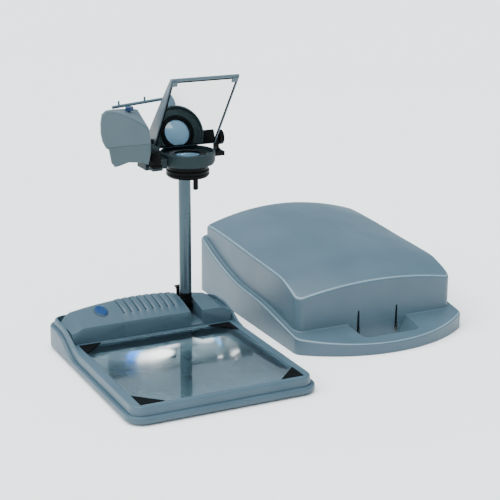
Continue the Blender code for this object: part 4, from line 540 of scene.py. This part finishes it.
# The head's arm and the lens ring: one stiff moulding from the post's top to the open ring.
# The ring carries the lens barrel, and its wall is painted darker than the base and the arm, as painted
# shade.
head_grey = moulded_grey("head_grey", (0.020, 0.042, 0.052, 1), (0.028, 0.052, 0.062, 1), 0.34, 0.46)
ring_shaded_grey = moulded_grey("ring_shaded_grey", (0.008, 0.018, 0.020, 1), (0.012, 0.023, 0.026, 1), 0.46, 0.58)
ring_shader = ring_shaded_grey.node_tree.nodes["Principled BSDF"]
ring_shader.inputs["Specular IOR Level"].default_value = 0.15
finish(head_grey, "head_arm")
finish(ring_shaded_grey, "lens_ring")


# The lens: a doublet in a black barrel, which slides in the ring.
# Its glass is coated, so its face is a pale blue.
COATED_DEEP = (0.18, 0.34, 0.48, 1)
COATED_PALE = (0.22, 0.40, 0.55, 1)

barrel_black = satin_black("barrel_black", 0.3, 0.42, 900.0)
finish(barrel_black, "lens_barrel")
coated, tree, shader = shader_of("coated_glass")
mottled(tree, shader, COATED_DEEP, COATED_PALE, 9.0)
shader.inputs["Transmission Weight"].default_value = 0.35
shader.inputs["IOR"].default_value = 1.6
shader.inputs["Coat Weight"].default_value = 0.25
shader.inputs["Coat Roughness"].default_value = 0.03
uneven_gloss(tree, shader, 0.05, 0.12, 10.0)
finish(coated, "objective_lens", "field_lens")


# The focus ring: a black collar below the ring, fluted for the fingers, that screws the barrel up and down.
# Its peg rides in the barrel's slot.
ring_black = satin_black("ring_black", 0.28, 0.42, 1400.0)
finish(ring_black, "focus_ring")


# The lamp knob: a black knurled barrel between the lamp housing and the ring.
# Turning it shifts the lamp, which trims the colour at the screen's edges.
knob_black = satin_black("knob_black", 0.32, 0.45, 1600.0)
finish(knob_black, "lamp_adjust_knob")


# The lamp housing: an upper and a lower shell that meet at a seam, in the body's grey.
# Both sides run back towards the arm, the left one more, and the top levels out there.
# The lower one is cupped below to clear the light's path, and painted darker than the upper one as shade.
LAMP_SIZE = (0.083, 0.093, 0.091)
LAMP_SEAM = 0.034
LAMP_WALL = 0.0025
LAMP_ROUND = 0.004
LAMP_FORM = (
    (1.00, 0.43), (1.00, 0.30), (1.00, 0.20), (0.95, 0.00), (0.855, 0.045), (0.70, 0.063),
    (0.55, 0.078), (0.385, 0.037), (0.27, 0.02), (0.20, 0.10), (0.155, 0.33), (0.095, 0.365),
    (0.03, 0.48), (0.0, 0.62), (0.0, 0.80), (0.03, 0.95), (0.10, 1.00), (0.24, 0.985),
    (0.40, 0.945), (0.55, 0.88), (0.70, 0.80), (0.85, 0.71), (0.965, 0.62),
)
LAMP_TOP_ABOVE = 0.6
LAMP_BACK_TOP = {
    0.0: 0.70, 0.03: 0.77, 0.10: 0.80, 0.24: 0.81, 0.40: 0.81,
    0.55: 0.81, 0.70: 0.81, 0.85: 0.80, 0.965: 0.78,
}
LAMP_STATIONS = (0.2, 0.35, 0.5, 0.65, 0.8)
LEFT_DRIFT = 0.038
RIGHT_DRIFT = 0.016
SEAT_SHARE = 0.42
WINDOW_PLACE = (0.0515, 0.0465)
WINDOW_RADIUS = 0.012
WINDOW_FOOT = 0.0025
WINDOW_TOP = 0.0095
CHANGER_SHAFT = 0.002
LAMP_STEPS = 4
SEAM_GAP = 0.0002
HOLE_GAP = 0.0003
SPLIT_PAST = 0.04
DISC_SIDES = 24
# The upper shell's tones, and the lower shell's painted darker as shade.
LAMP_LIT_AND_SHADED_TONES = {
    "upper": ((0.046, 0.073, 0.088, 1), (0.058, 0.087, 0.102, 1)),
    "lower": ((0.034, 0.058, 0.068, 1), (0.044, 0.070, 0.080, 1)),
}


def turn_of(centre, radius, start, end, steps):
    """Points along a turn between two angles in degrees."""
    turns = [radians(start + (end - start) * k / steps) for k in range(steps + 1)]
    return [(centre[0] + radius * cos(a), centre[1] + radius * sin(a)) for a in turns]


def lamp_ring(corner, share, inset):
    """The housing's outline at a share of its depth, drawn in by an inset."""
    wide, deep, high = LAMP_SIZE
    ring = []
    for across, up in LAMP_FORM:
        if up > LAMP_TOP_ABOVE:
            up += (LAMP_BACK_TOP[across] - up) * share
        x = wide * (0.5 + (across - 0.5) * (1 - 2 * inset / wide))
        x += share * (LEFT_DRIFT * (1 - across) + RIGHT_DRIFT * across * (up > SEAT_SHARE))
        z = high * (0.5 + (up - 0.5) * (1 - 2 * inset / high))
        ring.append((corner.x + x, corner.y + deep * share, corner.z + z))
    return ring


def lamp_rings(corner, wall):
    deep = LAMP_SIZE[1]
    turns = [pi / 2 * step / LAMP_STEPS for step in range(LAMP_STEPS + 1)]
    ends = [(wall + LAMP_ROUND * (1 - cos(a)), wall + LAMP_ROUND * (1 - sin(a))) for a in turns]
    front = [(near / deep, inset) for near, inset in ends]
    back = [(1 - near / deep, inset) for near, inset in ends[::-1]]
    middle = [(share, wall) for share in LAMP_STATIONS]
    return [lamp_ring(corner, share, inset) for share, inset in front + middle + back]


def lofted(name, rings, pale=()):
    """A closed solid through a row of rings; the faces over the rings in pale get the second material."""
    mesh = bmesh.new()
    rows = [[mesh.verts.new(point) for point in ring] for ring in rings]
    for k, (low, high) in enumerate(zip(rows, rows[1:])):
        for i in range(len(low)):
            j = (i + 1) % len(low)
            face = mesh.faces.new((low[i], low[j], high[j], high[i]))
            face.material_index = int(k in pale)
    mesh.faces.new(rows[0][::-1])
    mesh.faces.new(rows[-1])
    bmesh.ops.recalc_face_normals(mesh, faces=mesh.faces)
    data = bpy.data.meshes.new(name)
    mesh.to_mesh(data)
    mesh.free()
    piece = bpy.data.objects.new(name, data)
    bpy.context.scene.collection.objects.link(piece)
    return piece


def block(name, low, high):
    rings = []
    for z in (low[2], high[2]):
        rings.append([(low[0], low[1], z), (high[0], low[1], z), (high[0], high[1], z), (low[0], high[1], z)])
    return lofted(name, rings)


def worked(piece, steps):
    """The piece after its joins and cuts, as one mesh. The tools are removed."""
    for operation, tool in steps:
        change = piece.modifiers.new(tool.name, "BOOLEAN")
        change.operation = operation
        change.solver = "EXACT"
        change.object = tool
    done = piece.evaluated_get(bpy.context.evaluated_depsgraph_get())
    mesh = bpy.data.meshes.new_from_object(done)
    piece.modifiers.clear()
    piece.data = mesh
    for _, tool in steps:
        bpy.data.objects.remove(tool)
    return piece


def whole_turn(centre, radius, sides):
    return turn_of(centre, radius, 0, 360 - 360 / sides, sides - 1)


def circle(middle, radius, z):
    return [(x, y, z) for x, y in whole_turn(middle, radius, DISC_SIDES)]


def disc(name, middle, radius, low, high):
    return lofted(name, [circle(middle, radius, low), circle(middle, radius, high)])


lamp_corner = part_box("lamp_housing_upper")[0].copy()
lamp_corner.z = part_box("lamp_housing_lower")[0].z
seam = lamp_corner.z + LAMP_SEAM
low = tuple(place - SPLIT_PAST for place in lamp_corner)
high = tuple(place + size + SPLIT_PAST for place, size in zip(lamp_corner, LAMP_SIZE))
window_middle = (lamp_corner.x + WINDOW_PLACE[0], lamp_corner.y + WINDOW_PLACE[1])
changer_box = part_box("lamp_changer_knob")
changer_middle = tuple((changer_box[0] + changer_box[1]) / 2)[:2]
for name, (deep, pale) in LAMP_LIT_AND_SHADED_TONES.items():
    side = lofted("lamp_shell_" + name, lamp_rings(lamp_corner, 0.0))
    steps = [("DIFFERENCE", lofted("lamp_hollow", lamp_rings(lamp_corner, LAMP_WALL)))]
    if name == "upper":
        steps.append(("DIFFERENCE", block("lamp_split", low, (high[0], high[1], seam + SEAM_GAP))))
        hole = disc("shaft_hole", changer_middle, CHANGER_SHAFT + HOLE_GAP, seam, high[2])
    else:
        steps.append(("DIFFERENCE", block("lamp_split", (low[0], low[1], seam - SEAM_GAP), high)))
        hole = disc("window_hole", window_middle, WINDOW_RADIUS + HOLE_GAP, low[2], seam)
    steps.append(("DIFFERENCE", hole))
    worked(side, steps)
    coat(side, moulded_grey("lamp_grey_" + name, deep, pale, 0.40, 0.52))
    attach(side, "head")
    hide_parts("lamp_housing_" + name)


# The lamp changer's knob: a dark blue button on the housing's top that swings the spare lamp in.
# Its shaft passes through the top.
CHANGER_SINK = 0.0058
CHANGER_RADIUS = 0.0065
CHANGER_HEIGHT = 0.006
CHANGER_LENGTH = 0.0155
CHANGER_OVERLAP = 0.001
CHANGER_DEEP = (0.002, 0.014, 0.060, 1)
CHANGER_PALE = (0.004, 0.022, 0.080, 1)

top = changer_box[1].z - CHANGER_SINK
knob = disc("changer_button", changer_middle, CHANGER_RADIUS, top - CHANGER_HEIGHT, top)
shaft = disc("changer_shaft", changer_middle, CHANGER_SHAFT, top - CHANGER_LENGTH, top - CHANGER_OVERLAP)
worked(knob, [("UNION", shaft)])
changer_blue, tree, shader = shader_of("changer_blue")
mottled(tree, shader, CHANGER_DEEP, CHANGER_PALE, 40.0)
uneven_gloss(tree, shader, 0.4, 0.5, 60.0)
fine_grain(tree, shader, 1500.0, 0.0001, 0.05)
coat(knob, changer_blue)
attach(knob, "changer")
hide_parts("lamp_changer_knob")


# Inside the lamp housing: a halogen capsule in a white ceramic socket before a silvered bowl.
# A heat-proof window closes the housing below.
BOWL_RADIUS = 0.0115
BOWL_NECK = 0.0062
BOWL_WALL = 0.0012
BOWL_DEPTH = 0.020
BOWL_CURVE = 1.8
BOWL_STEPS = 5
BOWL_PAST = 0.001
BOWL_GAP = 0.0003

bowl = brushed_metal("bowl_silver", (0.72, 0.73, 0.74, 1), (0.82, 0.83, 0.84, 1), 0.06, 0.12, (1, 1, 1))
window_foot = lamp_corner.z + WINDOW_FOOT
window_top = lamp_corner.z + WINDOW_TOP
bowl_rings = []
hollow_rings = [circle(window_middle, BOWL_RADIUS - BOWL_WALL, window_top - BOWL_PAST)]
for step in range(BOWL_STEPS + 1):
    share = step / BOWL_STEPS
    radius = BOWL_RADIUS + (BOWL_NECK - BOWL_RADIUS) * share ** BOWL_CURVE
    z = window_top + BOWL_GAP + BOWL_DEPTH * share
    bowl_rings.append(circle(window_middle, radius, z))
    hollow_rings.append(circle(window_middle, radius - BOWL_WALL, z + BOWL_PAST * (step == BOWL_STEPS)))
reflector = lofted("bowl_shell", bowl_rings)
worked(reflector, [("DIFFERENCE", lofted("bowl_hollow", hollow_rings))])
coat(reflector, bowl)
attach(reflector, "head")
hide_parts("lamp_reflector")
ceramic, tree, shader = shader_of("socket_ceramic")
mottled(tree, shader, (0.62, 0.60, 0.55, 1), (0.74, 0.72, 0.68, 1), 40.0)
uneven_gloss(tree, shader, 0.5, 0.7, 60.0)
fine_grain(tree, shader, 1200.0, 0.0002, 0.1)
finish(ceramic, "lamp_socket")
window_clear = clear_glass("window_clear", (0.93, 0.95, 0.96, 1), 0.02, 0.08)
finish(window_clear, "halogen_lamp")
pane = disc("window_pane", window_middle, WINDOW_RADIUS, window_foot, window_top)
coat(pane, window_clear)
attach(pane, "head")
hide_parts("lamp_window")


# The rail: a slim grey rod that rises from the housing's back corner towards the arm, with two short pegs.
# It guides the lamp tray.
RAIL_START = (0.052, 0.086, 0.0780)
RAIL_LENGTH = 0.086
RAIL_CLIMB = 0.007
RAIL_RADIUS = 0.0026
RAIL_SIDES = 12
PEG_PLACES = (0.13, 0.64)
PEG_RADIUS = 0.0016
PEG_HEIGHT = 0.0085

start = lamp_corner + Vector(RAIL_START)
ends = []
for x, rise in ((start.x, 0), (start.x + RAIL_LENGTH, RAIL_CLIMB)):
    ends.append([(x, y, z) for y, z in whole_turn((start.y, start.z + rise), RAIL_RADIUS, RAIL_SIDES)])
rail = lofted("guide_rail", ends)
pegs = []
for share in PEG_PLACES:
    place = (start.x + RAIL_LENGTH * share, start.y)
    foot = start.z + RAIL_CLIMB * share
    pegs.append(("UNION", disc("rail_peg", place, PEG_RADIUS, foot, foot + PEG_HEIGHT)))
worked(rail, pegs)
coat(rail, case_lit_grey)
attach(rail, "head")
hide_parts("lamp_rail")


# The mirror hood: a thin tapered shell behind the projection mirror, hinged on two ears of the ring.
# It is painted paler than the body, a painted highlight of the light from above on its top.
hood_lit_grey = moulded_grey("hood_lit_grey", (0.055, 0.085, 0.103, 1), (0.070, 0.102, 0.120, 1), 0.30, 0.42)
finish(hood_lit_grey, "mirror_hood")
finish(knob_black, "mirror_ear_left", "mirror_ear_right")
finish(pin_steel, "mirror_pin")
finish(hood_lit_grey, "mirror_clip_left", "mirror_clip_right")


# The projection mirror: front-silvered glass, held in the hood by two clips.
# It sends the picture forward to the screen.
mirror_silver, tree, shader = shader_of("mirror_silver")
mottled(tree, shader, (0.90, 0.91, 0.90, 1), (0.94, 0.95, 0.94, 1), 4.0)
shader.inputs["Metallic"].default_value = 1.0
uneven_gloss(tree, shader, 0.0, 0.02, 5.0)
fine_grain(tree, shader, 30.0, 0.0001, 0.004)
finish(mirror_silver, "projection_mirror")


# The dark line round the mirror: a thin black band along the glass's margin, lifted just off its face.
# It is only a thin layer, so it has no node of its own in the CAD.
LINE_WIDTH = 0.0022
LINE_LIFT = 0.0002
LINE_FOOT = 0.00005
LINE_PAST = (0.003, -0.001)
GLASS_DEEP = 0.003
FOOT_NARROWING = 0.006
MIRROR_LEAN = radians(57.0)

low_corner, high_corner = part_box("projection_mirror")
foot = Vector((0, high_corner.y - GLASS_DEEP * sin(MIRROR_LEAN), low_corner.z))
head = Vector((0, low_corner.y, high_corner.z - GLASS_DEEP * cos(MIRROR_LEAN)))
slope = (head - foot).normalized()
outward = Vector((0, -sin(MIRROR_LEAN), -cos(MIRROR_LEAN)))


def mirror_outline(inset, lift):
    """The mirror's four corners on its face, drawn in and lifted off it."""
    reach = (head - foot).length - inset
    corners = []
    for x, along in (
        (low_corner.x + inset, inset), (high_corner.x - FOOT_NARROWING - inset, inset),
        (high_corner.x - inset, reach), (low_corner.x + inset, reach),
    ):
        corners.append(foot + slope * along + outward * lift + Vector((x, 0, 0)))
    return corners


line = lofted("mirror_line", [mirror_outline(0, LINE_LIFT), mirror_outline(0, LINE_FOOT)])
inner_cut = lofted("line_cut", [mirror_outline(LINE_WIDTH, lift) for lift in LINE_PAST])
worked(line, [("DIFFERENCE", inner_cut)])
line.data.materials.clear()
line.data.materials.append(clip_black)
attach(line, "mirror")


# The clamp knob at the mirror's right end: a black thumb wheel that fixes its tilt.
# It screws onto the pin's threaded end.
finish(knob_black, "mirror_clamp_knob")


# The carrying cover: one deep moulding that drops over the folded projector, stood on the table beside it.
# Its crowned dome stands on a band that rises to the back and bows out in front into the grip.
# Two slots let the front wall flex as a latch. Its edge rounds are painted paler and glossier than its faces,
# as a highlight.
COVER_MIDDLE = 0.1885
COVER_FRONT = -0.189
COVER_WIDTH = 0.346
COVER_DEPTH = 0.488
COVER_CORNER = 0.028
COVER_BOW = 0.063
COVER_BOW_CORNER = 0.022
COVER_WALL = 0.0035
BAND_FRONT_HEIGHT = 0.020
BAND_RISE = 0.088
BAND_LINE = (
    (0.0, 0.0), (0.17, 0.136), (0.264, 0.227), (0.43, 0.375), (0.607, 0.443), (0.70, 0.53),
    (0.79, 0.66), (0.87, 0.80), (0.945, 0.966), (1.0, 1.0),
)
BAND_ROUND = 0.003
DOME_INSET = 0.011
DOME_SETBACK = 0.083
DOME_BACK_INSET = 0.013
DOME_CORNER = 0.016
DOME_EDGE_HEIGHT = 0.133
DOME_LINE = (
    (0.0, 0.69), (0.02, 0.71), (0.065, 0.775), (0.10, 0.812), (0.165, 0.87), (0.27, 0.895),
    (0.48, 0.932), (0.71, 0.977), (0.94, 1.0), (1.0, 0.965),
)
DOME_CROWN_FRONT = 0.017
DOME_CROWN_BACK = 0.029
DOME_ROUND = 0.004
DOME_FILLET = 0.0025
DOME_RINGS = (0.93, 0.82, 0.70, 0.58, 0.46, 0.34, 0.22, 0.10, 0.02)
GRIP_TOP_WIDTH = 0.140
GRIP_FOOT_WIDTH = 0.090
GRIP_BAR = 0.028
GRIP_SHIFT = 0.004
GRIP_CORNER = 0.012
GRIP_BACK_GAP = 0.0003
LATCH_SLOTS = (-0.036, 0.044)
LATCH_TOP = 0.055
LATCH_TOP_WIDTH = 0.0034
LATCH_FOOT_WIDTH = 0.0080
LATCH_FOOT = 0.004
CUT_PAST = 0.004
CORNER_STEPS = 7
FRONT_POINTS = 24
SIDE_STEPS = 30
BACK_STEPS = 18
ROUND_STEPS = 4
# The rounds of the band's top and of the dome's shoulder, painted paler as a highlight.
PAINTED_HIGHLIGHT_RINGS = (3, 4, 13, 14)


def height_on(rows, at):
    """A smooth line through (place, height) rows, read at one place."""
    last = len(rows) - 1
    at = min(max(at, rows[0][0]), rows[last][0])
    k = next(k for k in range(last) if at <= rows[k + 1][0])
    slopes = []
    for j in (k, k + 1):
        before, after = rows[max(j - 1, 0)], rows[min(j + 1, last)]
        slopes.append((after[1] - before[1]) / (after[0] - before[0]))
    span = rows[k + 1][0] - rows[k][0]
    t = (at - rows[k][0]) / span
    rise = rows[k + 1][1] - rows[k][1]
    start = t * (1 - t) ** 2 * slopes[0] * span
    end = t * t * (t - 1) * slopes[1] * span
    return rows[k][1] + rise * t * t * (3 - 2 * t) + start + end


def between(first, last, steps):
    """Points between two places, without the places themselves."""
    shares = [(k + 1) / (steps + 1) for k in range(steps)]
    return [(first[0] + (last[0] - first[0]) * s, first[1] + (last[1] - first[1]) * s) for s in shares]


def closed_back(left, right, low, back, radius):
    """The right side, the two back corners and the left side of an outline."""
    points = between((right, low), (right, back - radius), SIDE_STEPS)
    points += turn_of((right - radius, back - radius), radius, 0, 90, CORNER_STEPS)
    points += between((right - radius, back), (left + radius, back), BACK_STEPS)
    points += turn_of((left + radius, back - radius), radius, 90, 180, CORNER_STEPS)
    points += between((left, back - radius), (left, low), SIDE_STEPS)
    return points


def front_and_corners(left, right, left_turn, right_turn, radius, middle):
    """The front of an outline: a corner, the points between and the other corner."""
    points = turn_of((left[0] + radius, left[1]), radius, 180, left_turn, CORNER_STEPS)
    points += middle
    return points + turn_of((right[0] - radius, right[1]), radius, right_turn, 360, CORNER_STEPS)


def rim_line(inset):
    half = COVER_WIDTH / 2 - inset
    left, right = COVER_MIDDLE - half, COVER_MIDDLE + half
    front = COVER_FRONT + inset
    radius = COVER_BOW_CORNER - inset
    bow_radius = (half * half + COVER_BOW * COVER_BOW) / (2 * COVER_BOW)
    reach = half - radius
    drop = sqrt((bow_radius - radius) ** 2 - reach * reach)
    low = front + bow_radius - drop
    spread = asin(reach / (bow_radius - radius)) * 180 / pi
    start, end = 270 - spread, 270 + spread
    bow = turn_of((COVER_MIDDLE, front + bow_radius), bow_radius, start, end, FRONT_POINTS + 1)
    points = front_and_corners((left, low), (right, low), start, end, radius, bow[1:-1])
    back = COVER_FRONT + COVER_DEPTH - inset
    return points + closed_back(left, right, low, back, COVER_CORNER - inset)


def dome_foot_line(inset):
    half = COVER_WIDTH / 2 - DOME_INSET - inset
    left, right = COVER_MIDDLE - half, COVER_MIDDLE + half
    front = COVER_FRONT + DOME_SETBACK + inset
    back = COVER_FRONT + COVER_DEPTH - DOME_BACK_INSET - inset
    radius = DOME_CORNER - inset
    low = front + radius
    middle = between((left + radius, front), (right - radius, front), FRONT_POINTS)
    points = front_and_corners((left, low), (right, low), 270, 270, radius, middle)
    return points + closed_back(left, right, low, back, radius)


def band_height(y):
    return BAND_FRONT_HEIGHT + BAND_RISE * height_on(BAND_LINE, (y - COVER_FRONT) / COVER_DEPTH)


def dome_height(x, y):
    """The dome's edge line, plus a crown that grows to the back."""
    share = (y - COVER_FRONT - DOME_SETBACK) / (COVER_DEPTH - DOME_SETBACK - DOME_BACK_INSET)
    crown = DOME_CROWN_FRONT + (DOME_CROWN_BACK - DOME_CROWN_FRONT) * share
    half = COVER_WIDTH / 2 - DOME_INSET
    return DOME_EDGE_HEIGHT * height_on(DOME_LINE, share) + crown * (1 - ((x - COVER_MIDDLE) / half) ** 2)


def cover_rings(wall):
    """Rings from the rim's foot up over the dome, drawn in and down by a wall."""
    rings = [[(x, y, 0.0) for x, y in rim_line(wall)]]
    quarter = [pi / 2 * step / ROUND_STEPS for step in range(ROUND_STEPS + 1)]
    for a in quarter:
        line = rim_line(wall + BAND_ROUND * (1 - cos(a)))
        rings.append([(x, y, band_height(y) - BAND_ROUND * (1 - sin(a)) - wall) for x, y in line])
    for a in quarter:
        line = dome_foot_line(wall - DOME_FILLET * (1 - sin(a)))
        rings.append([(x, y, band_height(y) + DOME_FILLET * (1 - cos(a)) - wall) for x, y in line])
    for a in quarter:
        line = dome_foot_line(wall + DOME_ROUND * (1 - cos(a)))
        rings.append([(x, y, dome_height(x, y) - DOME_ROUND * (1 - sin(a)) - wall) for x, y in line])
    shoulder = dome_foot_line(wall + DOME_ROUND)
    middle = COVER_FRONT + DOME_SETBACK + (COVER_DEPTH - DOME_SETBACK) / 2
    for share in DOME_RINGS:
        ring = []
        for x, y in shoulder:
            x = COVER_MIDDLE + (x - COVER_MIDDLE) * share
            y = middle + (y - middle) * share
            ring.append((x, y, dome_height(x, y) - wall))
        rings.append(ring)
    return rings


def grip_hole(name, margin):
    """The hand opening, or with a margin the walls round it that stop inside the band."""
    back = COVER_FRONT + DOME_SETBACK + (margin if margin else -GRIP_BACK_GAP)
    front = COVER_FRONT + GRIP_BAR - margin
    rings = []
    for width, is_top in ((GRIP_FOOT_WIDTH, False), (GRIP_TOP_WIDTH, True)):
        half = width / 2 + margin
        middle = COVER_MIDDLE + GRIP_SHIFT
        left, right = middle - half, middle + half
        line = turn_of((right - GRIP_CORNER, front + GRIP_CORNER), GRIP_CORNER, -90, 0, CORNER_STEPS)
        line += [(right, back), (left, back)]
        line += turn_of((left + GRIP_CORNER, front + GRIP_CORNER), GRIP_CORNER, 180, 270, CORNER_STEPS)
        ring = []
        for x, y in line:
            if is_top:
                height = band_height(y) - COVER_WALL / 2 if margin else BAND_FRONT_HEIGHT + BAND_RISE / 3
            else:
                height = 0.0 if margin else -CUT_PAST
            ring.append((x, y, height))
        rings.append(ring)
    return lofted(name, rings)


def latch_slot(name, at):
    """A tapered slot through the dome's front wall."""
    middle = COVER_MIDDLE + at
    near = COVER_FRONT + DOME_SETBACK - CUT_PAST
    far = COVER_FRONT + DOME_SETBACK + COVER_WALL + CUT_PAST
    rings = []
    for y in (near, far):
        rings.append([
            (middle - LATCH_FOOT_WIDTH / 2, y, LATCH_FOOT), (middle + LATCH_FOOT_WIDTH / 2, y, LATCH_FOOT),
            (middle + LATCH_TOP_WIDTH / 2, y, LATCH_TOP), (middle - LATCH_TOP_WIDTH / 2, y, LATCH_TOP),
        ])
    return lofted(name, rings)


inner = cover_rings(COVER_WALL)
hollow = lofted("cover_hollow", [[(x, y, -CUT_PAST) for x, y, _ in inner[0]]] + inner[1:])
shell = lofted("cover_shell", cover_rings(0.0), PAINTED_HIGHLIGHT_RINGS)
cover_grey = moulded_grey("cover_grey", (0.046, 0.080, 0.104, 1), (0.056, 0.094, 0.120, 1), 0.34, 0.44)
# A paler, glossier grey on the edge rounds: a painted highlight.
cover_edge_highlight = moulded_grey("cover_edge_highlight", (0.115, 0.175, 0.210, 1), (0.150, 0.215, 0.250, 1), 0.22, 0.32)
shell.data.materials.append(cover_grey)
shell.data.materials.append(cover_edge_highlight)
worked(shell, [
    ("DIFFERENCE", hollow),
    ("UNION", grip_hole("grip_walls", COVER_WALL)),
    ("DIFFERENCE", grip_hole("grip_hole", 0.0)),
    ("DIFFERENCE", latch_slot("latch_left", LATCH_SLOTS[0])),
    ("DIFFERENCE", latch_slot("latch_right", LATCH_SLOTS[1])),
])
smooth_faces(shell)
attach(shell, "cover")
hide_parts("carrying_cover")
